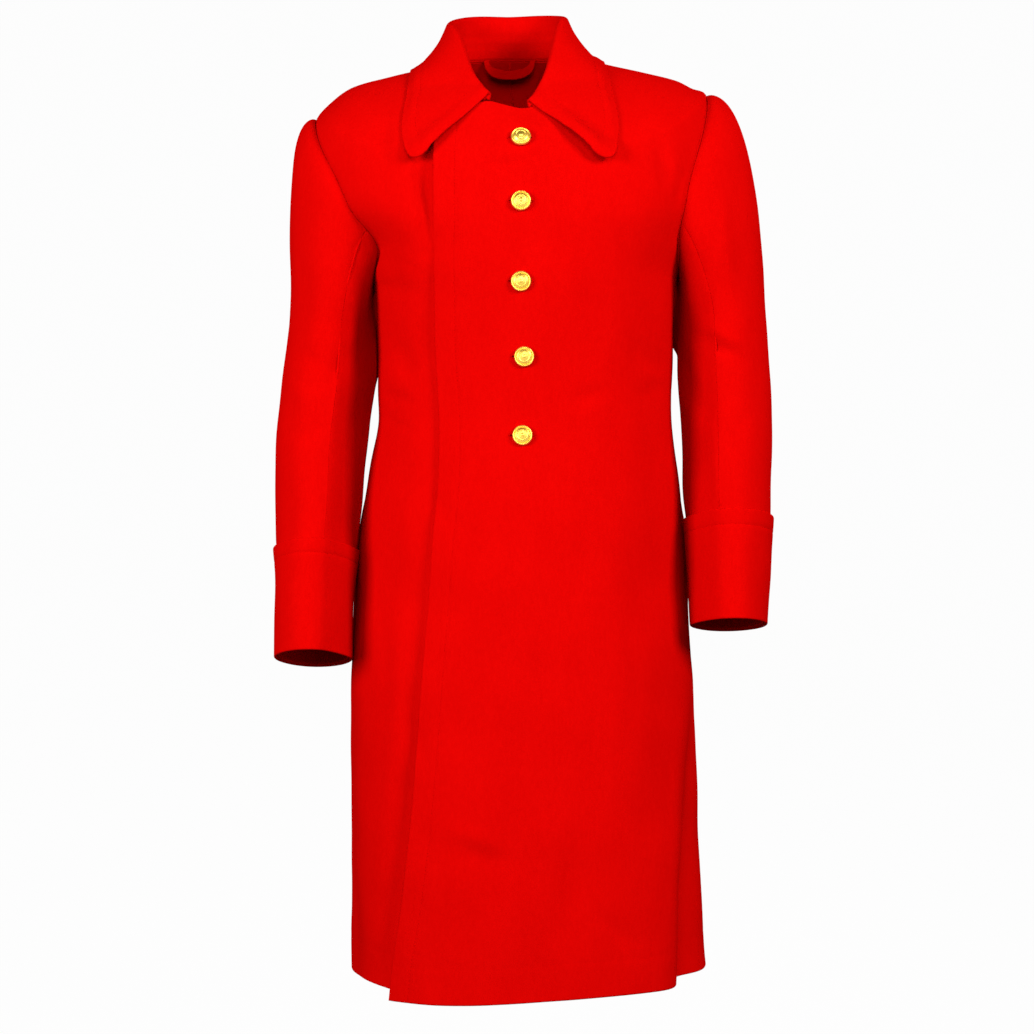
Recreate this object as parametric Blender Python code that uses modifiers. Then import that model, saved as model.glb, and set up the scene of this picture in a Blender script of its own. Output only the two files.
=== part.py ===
# Overcoat of heavy red wool, filled out as it is worn, with no wearer in it: two backs, two
# fronts with a wide overlap, two-piece sleeves with turned-back cuffs, a turned-down collar,
# a hanger loop and five domed metal buttons.
# Metres, +Z up. The wearer faces -Y, so the wearer's left side is +X. The origin is the middle
# of the neck base, at the height where the coat rests on the wearer's shoulders.

from functools import lru_cache
from math import atan2, copysign, cos, degrees, exp, pi, radians, sin

import bpy
from mathutils import Vector
from mathutils.bvhtree import BVHTree

# Cloth
CLOTH = 0.003  # one layer of the heavy coating
COLLAR_CLOTH = 0.004  # top collar and under collar together
CUFF_CLOTH = 0.0032
SEAM_SETBACK = 0.0002  # each panel stops this far from its seam line
EDGE_COLUMN = 0.08  # the first and last columns, as a share of an even one
UP = Vector((0, 0, 1))

# Body: the levels that name its sections, from the hem up to the neck
HEM, ARMPIT, SHOULDER_TIP, NECK = -1.02, -0.225, -0.03, 0.11
SKIRT_ROWS, ARMHOLE_ROWS = 12, 10
SHOULDER_LEVELS = (0.0, 0.03, 0.06, 0.085, NECK)
FRONT_COLUMNS_LEFT, FRONT_COLUMNS_RIGHT, BACK_COLUMNS = 16, 14, 10  # the back's are by half
SHOULDER_ROUND = 1.4  # how fast a section drops from the shoulder line to front and back

# Each row is one girth of the coat. Right and left are the wearer's: right is -X.
BODY_COLUMNS = (
    "level", "z_right", "z_left", "z_front", "z_back",
    "x_right", "x_left", "x_middle", "y_front", "y_back", "front_square", "back_square",
)
BODY_SECTIONS = (
    (-1.02, -1.023, -1.016, -1.024, -1.020, -0.195, 0.2210, 0.013, -0.168, 0.176, 2.7, 2.3),
    (-0.90, -0.900, -0.900, -0.900, -0.900, -0.195, 0.2140, 0.010, -0.162, 0.170, 2.7, 2.3),
    (-0.78, -0.780, -0.780, -0.780, -0.780, -0.195, 0.2110, 0.008, -0.156, 0.163, 2.6, 2.3),
    (-0.66, -0.660, -0.660, -0.660, -0.660, -0.1945, 0.2060, 0.006, -0.150, 0.155, 2.6, 2.3),
    (-0.58, -0.580, -0.580, -0.580, -0.580, -0.1915, 0.2015, 0.006, -0.146, 0.149, 2.6, 2.3),
    (-0.52, -0.520, -0.520, -0.520, -0.520, -0.1865, 0.1980, 0.006, -0.142, 0.142, 2.6, 2.3),
    (-0.45, -0.450, -0.450, -0.450, -0.450, -0.174, 0.1900, 0.007, -0.136, 0.128, 2.5, 2.3),
    (-0.39, -0.390, -0.390, -0.390, -0.390, -0.163, 0.1820, 0.008, -0.132, 0.114, 2.5, 2.3),
    (-0.35, -0.350, -0.350, -0.350, -0.350, -0.163, 0.1800, 0.008, -0.131, 0.110, 2.5, 2.3),
    (-0.30, -0.300, -0.300, -0.300, -0.300, -0.1628, 0.1822, 0.007, -0.134, 0.116, 2.4, 2.3),
    (-0.225, -0.225, -0.218, -0.225, -0.225, -0.166, 0.1870, 0.005, -0.140, 0.128, 2.4, 2.3),
    (-0.18, -0.185, -0.172, -0.190, -0.180, -0.178, 0.2060, 0.003, -0.141, 0.132, 2.3, 2.3),
    (-0.13, -0.135, -0.118, -0.155, -0.130, -0.227, 0.2300, 0.001, -0.140, 0.132, 2.3, 2.3),
    (-0.08, -0.080, -0.060, -0.122, -0.084, -0.241, 0.2330, 0.000, -0.136, 0.128, 2.3, 2.3),
    (-0.03, -0.027, 0.001, -0.094, -0.042, -0.235, 0.2217, -0.001, -0.131, 0.119, 2.3, 2.3),
    (-0.01, -0.0035, 0.009, -0.084, -0.024, -0.2135, 0.2050, -0.002, -0.128, 0.114, 2.3, 2.3),
    (0.01, 0.0105, 0.018, -0.074, -0.008, -0.192, 0.1870, -0.003, -0.124, 0.108, 2.3, 2.3),
    (0.05, 0.0225, 0.0285, -0.057, 0.017, -0.149, 0.1446, -0.006, -0.116, 0.097, 2.3, 2.3),
    (0.08, 0.031, 0.037, -0.041, 0.035, -0.114, 0.1060, -0.008, -0.108, 0.086, 2.3, 2.3),
    (0.11, 0.040, 0.048, -0.026, 0.055, -0.082, 0.0640, -0.009, -0.100, 0.072, 2.3, 2.3),
)

# Soft folds of the skirt, which start at a level and deepen to the hem. Angles are degrees
# from the front towards the wearer's left; a depth above zero stands out.
SKIRT_FOLDS = (
    # at the hem, at its start, half width, depth, start level
    (50, 72, 7.0, 0.004, -0.60),
    (64, 87, 9.0, -0.026, -0.60),
    (118, 112, 13.0, 0.007, -0.55),
    (146, 142, 12.0, -0.008, -0.60),
    (180, 180, 14.0, 0.006, -0.55),
    (214, 218, 12.0, -0.008, -0.60),
    (242, 246, 12.0, 0.007, -0.55),
    (-72, -82, 11.0, -0.007, -0.60),
)

# Where the sleeves press on the body: angle, level, half width and half height, depth
PRESSES = ((62, -0.56, 26, 0.080, 0.011), (-62, -0.57, 26, 0.080, 0.0085))

# The neck seam dips where the wearer's left collar leaf ends.
NECK_DIP, NECK_DIP_ANGLE, NECK_DIP_WIDTH, NECK_DIP_START = 0.009, 14, 16, 0.04

# Fronts. The wearer's left front laps over the right one, past the middle.
LAP_EDGE = (
    # level, x of the free edge
    (-1.02, -0.1440), (-0.98, -0.1395), (-0.92, -0.1300), (-0.85, -0.1216), (-0.767, -0.1138),
    (-0.676, -0.1075), (-0.62, -0.1043), (-0.546, -0.0990), (-0.506, -0.0950), (-0.462, -0.0895),
    (-0.409, -0.0875), (-0.365, -0.0892), (-0.309, -0.0924), (-0.253, -0.0935), (-0.12, -0.0946),
    (0.11, -0.0938),
)
UNDER_EDGE_TOP, UNDER_EDGE_HEM = 0.088, 0.105  # x of the right front's hidden edge
LAP_GAP = 0.0013  # between the two fronts
UNDER_DROP_HEM = 0.010  # how far the right front hangs behind the lap at the hem
UNDER_BLEND = 0.035  # the right front dips over this width beside the lap's edge
LAP_HEM_DROP = 0.011  # the lap's hem corner hangs this much lower
UNDER_HEM = ((-64, 11, 0.004), (-36, 12, -0.008))  # angle, half width, rise of the under hem
LAP_TOP_START, LAP_TOP_END, LAP_TOP_DROP = 10, 48, 0.075  # degrees, degrees, levels

# Armholes: how far their curve reaches before and behind the shoulder line
ARMHOLE_FRONT, ARMHOLE_BACK = 0.088, 0.078

# Sleeves, each a ring at a height: outer and inner x, middle y, half depth, forward tilt
SLEEVE_COLUMNS = ("z", "x_outer", "x_inner", "y_middle", "half_depth", "tilt")
SLEEVE_SECTIONS = {
    "right": (
        (-0.275, -0.2670, -0.1650, 0.000, 0.0800, 0.0),
        (-0.330, -0.2750, -0.1650, -0.004, 0.0790, 4.0),
        (-0.385, -0.2795, -0.1700, -0.012, 0.0770, 8.0),
        (-0.430, -0.2810, -0.1735, -0.021, 0.0740, 10.0),
        (-0.480, -0.2805, -0.1780, -0.031, 0.0710, 11.0),
        (-0.520, -0.2785, -0.1840, -0.040, 0.0690, 12.0),
        (-0.560, -0.2750, -0.1895, -0.048, 0.0680, 12.0),
        (-0.600, -0.2738, -0.1920, -0.056, 0.0670, 12.0),
        (-0.655, -0.2735, -0.1930, -0.067, 0.0660, 12.0),
    ),
    "left": (
        (-0.265, 0.2925, 0.1890, 0.000, 0.0800, 0.0),
        (-0.320, 0.2957, 0.1895, -0.004, 0.0790, 4.0),
        (-0.370, 0.2980, 0.1910, -0.011, 0.0770, 7.0),
        (-0.420, 0.2970, 0.1925, -0.021, 0.0740, 9.0),
        (-0.465, 0.2945, 0.1930, -0.031, 0.0715, 10.0),
        (-0.500, 0.2925, 0.1955, -0.039, 0.0690, 10.0),
        (-0.540, 0.2885, 0.1985, -0.046, 0.0680, 10.0),
        (-0.575, 0.2870, 0.2005, -0.053, 0.0670, 10.0),
        (-0.617, 0.2835, 0.2030, -0.061, 0.0660, 9.0),
    ),
}
SLEEVE_AROUND = 20  # columns round a sleeve, two for each armhole row
SLEEVE_ROWS = 9
CROWN_SHARES = (0.0, 0.06, 0.14, 0.25, 0.4, 0.58, 0.78)  # rows from the armhole to the first ring
FOREARM_SEAM = 108  # degrees from the outer side of the sleeve to its seams
CROWN_LIFT = 0.12  # the sleeve head rises a little where it leaves the shoulder
CROWN_FULL = {1: 0.68, -1: 0.56}  # how full it is, on the left and on the right
SLEEVE_GAP = 0.0005

# Cuffs, turned back over the sleeve
CUFF_TOP = {"right": -0.533, "left": -0.497}
CUFF_GAP = 0.0008
CUFF_ROWS, CUFF_AROUND = 4, 32
CUFF_BELOW = 0.002  # the fold of the cuff hangs this far under the sleeve

# Collar, by half: the angle from the front, the height of the roll over the neck seam, its lean
# outwards, the direction, reach and drop of the fall from the roll to its edge, and its bulge
COLLAR_COLUMNS = ("angle", "rise", "lean", "way", "reach", "drop", "bulge")
COLLAR_STATIONS = (
    (13.0, 0.0065, -0.003, 76, 0.0870, 0.080, 0.003),
    (24.5, 0.0145, -0.007, 72, 0.0890, 0.070, 0.003),
    (50.0, 0.0300, -0.013, 70, 0.0690, 0.054, 0.000),
    (90.0, 0.0390, -0.006, 79, 0.0485, 0.056, -0.004),
    (121.0, 0.0465, 0.000, 107, 0.0380, 0.066, -0.004),
    (148.0, 0.0500, 0.004, 143, 0.0280, 0.075, 0.001),
    (180.0, 0.0500, 0.008, 180, 0.0200, 0.078, 0.003),
)
COLLAR_HALF_COLUMNS = 20
COLLAR_START = 0.0012  # the stand starts this far over the neck seam
ROLL_RADIUS = 0.003
ROLL_STEPS = 4
FALL_SHARES = (0.15, 0.32, 0.5, 0.68, 0.85, 1.0)
FALL_SAG, SAG_START, SAG_END = 0.009, 60, 15  # the leaf's lower edge hangs in a curve
RIGHT_LEAF_DROP, RIGHT_LEAF_CLOSE = 0.006, 0.0045  # the wearer's right leaf hangs lower and steeper
COLLAR_CLEARANCE = 0.0028  # under the fall
TIP_ROUND = 0.045  # the leaf's corner, as a share of the half collar
COLLAR_SWAY = 0.0025  # behind the neck it leans this much towards the wearer's right

# Hanger loop, a tape sewn into the back neck seam
LOOP_OUTER, LOOP_INNER = (0.033, 0.0235), (0.025, 0.0115)  # half width and depth of its two edges
LOOP_SEWN = 0.0042  # its ends are sewn to the stand, this far up
LOOP_STEPS = 14
LOOP_TAPE = 0.0015
LOOP_SQUARE = 0.6

# Buttons, fastened through slits in the lap: x and z of each, from the neck down
BUTTON_PLACES = ((0.0044, -0.070), (0.0044, -0.1435), (0.0044, -0.2325), (0.0080, -0.3159), (0.0061, -0.4038))
BUTTON_RADIUS = 0.0114
BUTTON_LIFT = 0.0008  # the back of the button stands off the cloth
BUTTON_PROFILE = (
    # radius as a share of the button's, height over its back
    (0.0, 0.0066), (0.16, 0.0064), (0.20, 0.0058), (0.52, 0.0050), (0.78, 0.0034), (0.86, 0.0028),
    (0.95, 0.0032), (1.0, 0.0022), (0.94, 0.0), (0.105, 0.0),
)
SHANK_FOOT = CLOTH + LAP_GAP - 0.0008  # how far the shank reaches through the lap
BUTTON_STEPS = 18
SLIT_LENGTH, SLIT_WIDTH, SLIT_SHIFT = 0.027, 0.0034, -0.0008

WOOL_RED = (0.78, 0.006, 0.004)
BRASS = (0.86, 0.62, 0.20)


# Tables, read on a smooth curve through their rows
def smooth_row(rows, at):
    i = max(0, min(len(rows) - 2, sum(row[0] <= at for row in rows) - 1))
    before, here, after, beyond = (rows[max(0, min(len(rows) - 1, i + k))] for k in (-1, 0, 1, 2))
    span = after[0] - here[0]
    s = (at - here[0]) / span
    found = []
    for p, a, b, q in zip(before, here, after, beyond):
        slope_a = (b - p) / (after[0] - before[0]) * span
        slope_b = (q - a) / (beyond[0] - here[0]) * span
        found.append(
            (2 * s**3 - 3 * s**2 + 1) * a + (s**3 - 2 * s**2 + s) * slope_a
            + (3 * s**2 - 2 * s**3) * b + (s**3 - s**2) * slope_b
        )
    return found


@lru_cache(maxsize=None)
def body_section(level):
    return dict(zip(BODY_COLUMNS, smooth_row(BODY_SECTIONS, level)))


def ease(share):
    share = max(0.0, min(1.0, share))
    return share * share * (3 - 2 * share)


def spread(start, end, count, edge=EDGE_COLUMN):
    """Even steps from start to end, with a narrow step added inside each end."""
    step = (end - start) / count
    inner = [start + step * i for i in range(1, count)]
    return [start, start + step * edge, *inner, end - step * edge, end]


# The body's outer surface, by angle from the front (degrees) and level
def fold_depth(angle, level):
    depth = 0.0
    for hem_angle, top_angle, width, height, start in SKIRT_FOLDS:
        share = (start - level) / (start - HEM)
        if share > 0:
            middle = top_angle + (hem_angle - top_angle) * min(share, 1.0) ** 0.7
            off = (angle - middle + 180) % 360 - 180
            depth += height * ease(share) * exp(-((off / width) ** 2))
    for middle, height, width, tall, press in PRESSES:
        off = (angle - middle + 180) % 360 - 180
        depth -= press * exp(-((off / width) ** 2) - ((level - height) / tall) ** 2)
    return depth


def outward(angle):
    return Vector((sin(radians(angle)), -cos(radians(angle)), 0))


def body_point(angle, level):
    s = body_section(level)
    way = outward(angle)
    facing_front = way.y < 0
    square = s["front_square"] if facing_front else s["back_square"]
    width = s["x_left"] - s["x_middle"] if way.x >= 0 else s["x_middle"] - s["x_right"]
    depth = -s["y_front"] if facing_front else s["y_back"]
    radius = (abs(way.x / width) ** square + abs(way.y / depth) ** square) ** (-1 / square)
    share = min(1.0, abs(way.y) * radius / depth)
    z_side = s["z_left"] if way.x >= 0 else s["z_right"]
    z_middle = s["z_front"] if facing_front else s["z_back"]
    z = z_side + (z_middle - z_side) * share**SHOULDER_ROUND
    off = (angle - NECK_DIP_ANGLE + 180) % 360 - 180
    dip = ease((level - NECK_DIP_START) / (NECK - NECK_DIP_START))
    z -= NECK_DIP * dip * exp(-((off / NECK_DIP_WIDTH) ** 2))
    return Vector((s["x_middle"], 0, z)) + way * (radius + fold_depth(angle, level))


def normal_at(surface, across, along, step_across=0.5, step_along=1e-3):
    """The way out of a surface at a point, from its points to each side."""
    u = surface(across + step_across, along) - surface(across - step_across, along)
    v = surface(across, along + step_along) - surface(across, along - step_along)
    return u.cross(v).normalized()


def angle_at_x(x, level):
    """The angle on the coat's front where the body has this x."""
    s = body_section(level)
    width = s["x_left"] - s["x_middle"] if x >= s["x_middle"] else s["x_middle"] - s["x_right"]
    square = s["front_square"]
    share = min(0.999, abs(x - s["x_middle"]) / width)
    depth = -s["y_front"] * (1 - share**square) ** (1 / square)
    return degrees(atan2(x - s["x_middle"], depth))


def angle_at_y(y, level):
    """How far round from the front, in degrees, the wearer's left side has this y."""
    s = body_section(level)
    square = s["front_square"] if y < 0 else s["back_square"]
    depth = -s["y_front"] if y < 0 else s["y_back"]
    width = s["x_left"] - s["x_middle"]
    x = width * (1 - min(0.999, abs(y) / depth) ** square) ** (1 / square)
    return degrees(atan2(x, -y))


def side_angle(level, side, front):
    """The angle of a panel's outer edge: the side seam, the armhole or the shoulder seam."""
    if not ARMPIT < level < SHOULDER_TIP:
        return side * 90
    share = (level - ARMPIT) / (SHOULDER_TIP - ARMPIT)
    bow = (max(0.0, 1 - (2 * share - 1) ** 2)) ** 0.5
    reach = -ARMHOLE_FRONT if front else ARMHOLE_BACK
    s = body_section(level)
    if side > 0:
        return angle_at_y(reach * bow, level)
    square = s["front_square"] if front else s["back_square"]
    depth = -s["y_front"] if front else s["y_back"]
    width = s["x_middle"] - s["x_right"]
    x = width * (1 - min(0.999, abs(reach * bow) / depth) ** square) ** (1 / square)
    return -degrees(atan2(x, -reach * bow))


def armhole_level(step):
    """The level of an armhole row, from 0 at the armpit to ARMHOLE_ROWS at the shoulder tip."""
    return ARMPIT + (SHOULDER_TIP - ARMPIT) * (1 - cos(pi * step / ARMHOLE_ROWS)) / 2


def body_levels():
    skirt = [HEM + (ARMPIT - HEM) * i / SKIRT_ROWS for i in range(SKIRT_ROWS)]
    armhole = [armhole_level(i) for i in range(ARMHOLE_ROWS + 1)]
    return skirt + armhole + list(SHOULDER_LEVELS)


# Objects
def wool(name, color=WOOL_RED, roughness=0.9, metallic=0.0):
    material = bpy.data.materials.get(name) or bpy.data.materials.new(name)
    material.use_nodes = True
    shader = material.node_tree.nodes["Principled BSDF"]
    shader.inputs["Base Color"].default_value = (*color, 1)
    shader.inputs["Roughness"].default_value = roughness
    shader.inputs["Metallic"].default_value = metallic
    return material


def put(name, mesh, material):
    mesh.materials.append(material)
    obj = bpy.data.objects.new(name, mesh)
    coat.objects.link(obj)
    return obj


def cloth(name, outer, inner, wrap=False):
    """A panel between two grids of points, the right side of the cloth and the wrong side."""
    rows, columns = len(outer), len(outer[0])
    size = rows * columns
    steps = columns if wrap else columns - 1
    faces = []
    for i in range(rows - 1):
        for j in range(steps):
            a, b = i * columns + j, i * columns + (j + 1) % columns
            faces.append((a, b, b + columns, a + columns))
            faces.append((size + b, size + a, size + a + columns, size + b + columns))
    for j in range(steps):
        a, b = j, (j + 1) % columns
        faces.append((b, a, size + a, size + b))
        a, b = a + size - columns, b + size - columns
        faces.append((a, b, size + b, size + a))
    if not wrap:
        for i in range(rows - 1):
            a, b = i * columns, (i + 1) * columns - 1
            faces.append((a, a + columns, size + a + columns, size + a))
            faces.append((b + columns, b, size + b, size + b + columns))
    mesh = bpy.data.meshes.new(name)
    mesh.from_pydata([p for row in outer + inner for p in row], [], faces)
    return put(name, mesh, wool("Coating_wool"))


def thickened(name, grid, thickness, offset):
    """A piece that is folded or thin: its grid, thickened by Solidify."""
    columns = len(grid[0])
    faces = []
    for i in range(len(grid) - 1):
        for a in range(i * columns, (i + 1) * columns - 1):
            faces.append((a, a + 1, a + 1 + columns, a + columns))
    mesh = bpy.data.meshes.new(name)
    mesh.from_pydata([p for row in grid for p in row], [], faces)
    obj = put(name, mesh, wool("Coating_wool"))
    shell = obj.modifiers.new("Cloth_thickness", "SOLIDIFY")
    shell.thickness = thickness
    shell.offset = offset
    shell.use_even_offset = True
    return obj


# Back and fronts
def setback_angle(level, side):
    """SEAM_SETBACK as an angle at the coat's side."""
    s = body_section(level)
    reach = s["x_left"] if side > 0 else -s["x_right"]
    return degrees(SEAM_SETBACK / reach)


def panel(name, surface, angles_at):
    """A piece of the body. Angles_at gives the angles of its points at a level."""
    outer, inner = [], []
    for level in body_levels():
        angles = angles_at(level)
        row = [surface(angle, level) for angle in angles]
        outer.append(row)
        inner.append([p - normal_at(surface, a, level) * CLOTH for p, a in zip(row, angles)])
    return cloth(name, outer, inner)


def centre_setback(level):
    return degrees(SEAM_SETBACK / body_section(level)["y_back"])


def back_left_angles(level):
    start = side_angle(level, 1, False) + setback_angle(level, 1)
    return spread(start, 180 - centre_setback(level), BACK_COLUMNS)


def back_right_angles(level):
    end = 360 + side_angle(level, -1, False) - setback_angle(level, -1)
    return spread(180 + centre_setback(level), end, BACK_COLUMNS)


def lap_edge_x(level):
    return smooth_row(LAP_EDGE, level)[1]


def lap_drop(level):
    return LAP_TOP_DROP * ease((level - SHOULDER_TIP) / (NECK - SHOULDER_TIP))


def lowered(angle, level, side):
    """The level of a point of a front's lapped top, which slopes down past the middle."""
    past = (-side * angle - LAP_TOP_START) / (LAP_TOP_END - LAP_TOP_START)
    return level - lap_drop(level) * ease(past)


def left_front_point(angle, level):
    point = body_point(angle, lowered(angle, level, 1))
    past = ease((45 - angle) / 85) * ease((-0.5 - level) / (-0.5 - HEM))
    return point - UP * LAP_HEM_DROP * past


def right_front_point(angle, level):
    level = lowered(angle, level, -1)
    deep = ease((-0.4 - level) / (-0.4 - HEM))
    drop = CLOTH + LAP_GAP + (UNDER_DROP_HEM - CLOTH - LAP_GAP) * deep
    point = body_point(angle, level)
    beside = point.x - (lap_edge_x(level) - UNDER_BLEND)
    rise = sum(height * exp(-(((angle - middle) / width) ** 2)) for middle, width, height in UNDER_HEM)
    point = point + UP * rise * ease((-0.8 - level) / (-0.8 - HEM))
    return point - normal_at(body_point, angle, level) * drop * ease(beside / UNDER_BLEND)


def left_front_angles(level):
    start = angle_at_x(lap_edge_x(level), level - lap_drop(level))
    end = side_angle(level, 1, True) - setback_angle(level, 1)
    return spread(start, end, FRONT_COLUMNS_LEFT)


def right_front_angles(level):
    start = side_angle(level, -1, True) + setback_angle(level, -1)
    low = (level - NECK) / (HEM - NECK)
    edge = UNDER_EDGE_TOP + (UNDER_EDGE_HEM - UNDER_EDGE_TOP) * low
    end = angle_at_x(edge, level - lap_drop(level))
    return spread(start, end, FRONT_COLUMNS_RIGHT)


PANELS = {
    "back_left": (body_point, back_left_angles),
    "back_right": (body_point, back_right_angles),
    "front_left": (left_front_point, left_front_angles),
    "front_right": (right_front_point, right_front_angles),
}


# Sleeves
def armhole_at(side, turn):
    """The armhole's point and the body's normal there. Turn is degrees from the shoulder tip,
    towards the front."""
    turn %= 360
    front = turn <= 180
    level = armhole_level(ARMHOLE_ROWS * (1 - (turn if front else 360 - turn) / 180))
    angle = side_angle(level, side, front)
    return body_point(angle, level), normal_at(body_point, angle, level)


def sleeve_ring(which, z, turn):
    """A point of the sleeve's tube, by the height of its ring and the angle round it."""
    table = SLEEVE_SECTIONS[which]
    s = dict(zip(SLEEVE_COLUMNS, smooth_row(table[::-1], z)))
    middle = Vector(((s["x_outer"] + s["x_inner"]) / 2, s["y_middle"], z))
    half_width = (s["x_outer"] - s["x_inner"]) / 2
    tilt = radians(s["tilt"])
    back = Vector((0, cos(tilt), -sin(tilt)))
    a = radians(turn)
    return middle + Vector((half_width * cos(a), 0, 0)) - back * s["half_depth"] * sin(a)


def sleeve_point(which, row, turn):
    """Rows below 1 run from the armhole to the tube's first ring, and from 1 on down the tube."""
    side = 1 if which == "left" else -1
    top, end = SLEEVE_SECTIONS[which][0][0], SLEEVE_SECTIONS[which][-1][0]
    if row >= 1:
        return sleeve_ring(which, top + (end - top) * (row - 1), turn)
    start, normal = armhole_at(side, turn)
    ring = sleeve_ring(which, top, turn)
    fall = (sleeve_ring(which, top - 0.01, turn) - ring) / 0.01
    high = (1 + cos(radians(turn))) / 2
    leave = Vector((side, 0, CROWN_LIFT)) * high
    leave += Vector((0.45 * side, -0.25 * sin(radians(turn)), -1)) * (1 - high)
    leave.normalize()
    start = start + (leave * high + normal * (1 - high)).normalized() * SLEEVE_GAP
    length = (ring - start).length
    s = row
    return (
        start * (2 * s**3 - 3 * s**2 + 1) + leave * CROWN_FULL[side] * length * (s - 2 * s**2 + s**3)
        + ring * (3 * s**2 - 2 * s**3) + fall * 0.6 * length * (s**3 - s**2)
    )


def sleeve_rows():
    return list(CROWN_SHARES) + [1 + i / SLEEVE_ROWS for i in range(SLEEVE_ROWS + 1)]


def sleeve_normal(which, row, turn):
    side = 1 if which == "left" else -1

    def surface(across, along):
        return sleeve_point(which, along, across)

    return side * normal_at(surface, turn, row, step_along=0.004)


def sleeve_cloth(name, which, rows, turns, lift, thickness, wrap=False):
    """Cloth round the arm: its wrong side is lifted off the sleeve's surface, in or out."""
    if which == "right":
        turns = turns[::-1]
    inner, outer = [], []
    for row in rows:
        points = [sleeve_point(which, row, turn) for turn in turns]
        normals = [sleeve_normal(which, row, turn) for turn in turns]
        inner.append([p + n * lift for p, n in zip(points, normals)])
        outer.append([p + n * (lift + thickness) for p, n in zip(points, normals)])
    return cloth(name, outer, inner, wrap)


def make_sleeve(which):
    setback = degrees(SEAM_SETBACK / 0.06)
    step = 360 / SLEEVE_AROUND
    for part, start, end in (
        ("top_sleeve", -FOREARM_SEAM, FOREARM_SEAM),
        ("under_sleeve", FOREARM_SEAM, 360 - FOREARM_SEAM),
    ):
        turns = spread(start + setback, end - setback, round((end - start) / step))
        sleeve_cloth(f"{part}_{which}", which, sleeve_rows(), turns, -CLOTH, CLOTH)


def make_cuff(which):
    top, end = SLEEVE_SECTIONS[which][0][0], SLEEVE_SECTIONS[which][-1][0]
    start = 1 + (CUFF_TOP[which] - top) / (end - top)
    stop = 2 - CUFF_BELOW / (end - top)
    rows = [start + (stop - start) * i / CUFF_ROWS for i in range(CUFF_ROWS + 1)]
    turns = [360 * i / CUFF_AROUND for i in range(CUFF_AROUND)]
    return sleeve_cloth(f"cuff_{which}", which, rows, turns, CUFF_GAP, CUFF_CLOTH, wrap=True)


# Collar
def collar_section(angle, side):
    """The middle line of the collar, from the neck seam up the stand, over the roll and down."""
    s = dict(zip(COLLAR_COLUMNS, smooth_row(COLLAR_STATIONS, angle)))
    out = outward(side * angle)
    way = outward(side * s["way"])
    seam = body_point(side * angle, NECK) - out * (COLLAR_CLOTH / 2)
    roll = seam + UP * s["rise"] + out * s["lean"]
    roll.x -= COLLAR_SWAY * ease((angle - 40) / 60)
    stand_foot = seam + UP * COLLAR_START
    turned = []
    for i in range(ROLL_STEPS + 1):
        a = pi * i / ROLL_STEPS
        direction = -out if a < pi / 2 else way
        turned.append(roll + direction * abs(cos(a)) * ROLL_RADIUS + UP * sin(a) * ROLL_RADIUS)
    leaf = ease((SAG_START - angle) / (SAG_START - SAG_END))
    right = leaf if side < 0 else 0
    edge = roll + way * (s["reach"] - RIGHT_LEAF_CLOSE * right) - UP * (s["drop"] + RIGHT_LEAF_DROP * right)
    swell = (UP + way).normalized() * s["bulge"] - UP * FALL_SAG * leaf
    fall = [turned[-1].lerp(edge, w) + swell * sin(pi * w) for w in FALL_SHARES]
    return [stand_foot, stand_foot.lerp(turned[0], 0.5), *turned, *fall]


def under_collar():
    """The shoulders and chest, which the fall keeps clear of."""
    angles = range(0, 365, 5)
    levels = [NECK - 0.02 * i for i in range(15)][::-1]
    points = [body_point(a, level) for level in levels for a in angles]
    columns = len(angles)
    faces = []
    for i in range(len(levels) - 1):
        for a in range(i * columns, (i + 1) * columns - 1):
            faces.append((a, a + 1, a + 1 + columns, a + columns))
    return BVHTree.FromPolygons(points, faces)


def make_collar():
    body = under_collar()
    first_angle = COLLAR_STATIONS[0][0]
    first_fall = 2 + ROLL_STEPS + 1
    grid = []
    for i in range(-COLLAR_HALF_COLUMNS, COLLAR_HALF_COLUMNS + 1):
        share = abs(i) / COLLAR_HALF_COLUMNS
        side = copysign(1, i)
        column = []
        for j in range(first_fall + len(FALL_SHARES)):
            w = FALL_SHARES[j - first_fall] if j >= first_fall else 0
            back_off = 1 - TIP_ROUND * max(0, (w - 0.5) / 0.5) ** 4
            angle = 180 - (180 - first_angle) * share * back_off
            point = collar_section(angle, side)[j]
            if j >= first_fall:
                near, normal, _, _ = body.find_nearest(point)
                lift = COLLAR_CLOTH / 2 + COLLAR_CLEARANCE - (point - near).dot(normal)
                if lift > 0:
                    point = point + normal * lift
            column.append(point)
        grid.append(column)
    rows = [list(row) for row in zip(*grid)]
    return thickened("collar", rows, COLLAR_CLOTH, 0.0)


def make_hanger_loop():
    grid = []
    for half_width, depth in (LOOP_OUTER, LOOP_INNER):
        row = []
        for i in range(LOOP_STEPS + 1):
            a = pi * i / LOOP_STEPS
            x = -half_width * copysign(abs(cos(a)) ** LOOP_SQUARE, cos(a))
            drop = depth * sin(a) ** LOOP_SQUARE
            angle = 180 - degrees(atan2(x, body_section(NECK)["y_back"]))
            seam = body_point(angle, NECK)
            row.append(seam - outward(angle) * (COLLAR_CLOTH + SEAM_SETBACK) + UP * (LOOP_SEWN - drop))
        grid.append(row)
    return thickened("hanger_loop", grid, LOOP_TAPE, 1.0)


# Buttons and their slits
def place_on_lap(x, z):
    """The lap's point at this x and z, and the normal there."""
    level = z
    for _ in range(30):
        point = left_front_point(angle_at_x(x, level), level)
        level += (z - point.z) * 0.8
    angle = angle_at_x(x, level)
    return left_front_point(angle, level), normal_at(body_point, angle, level)


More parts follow.
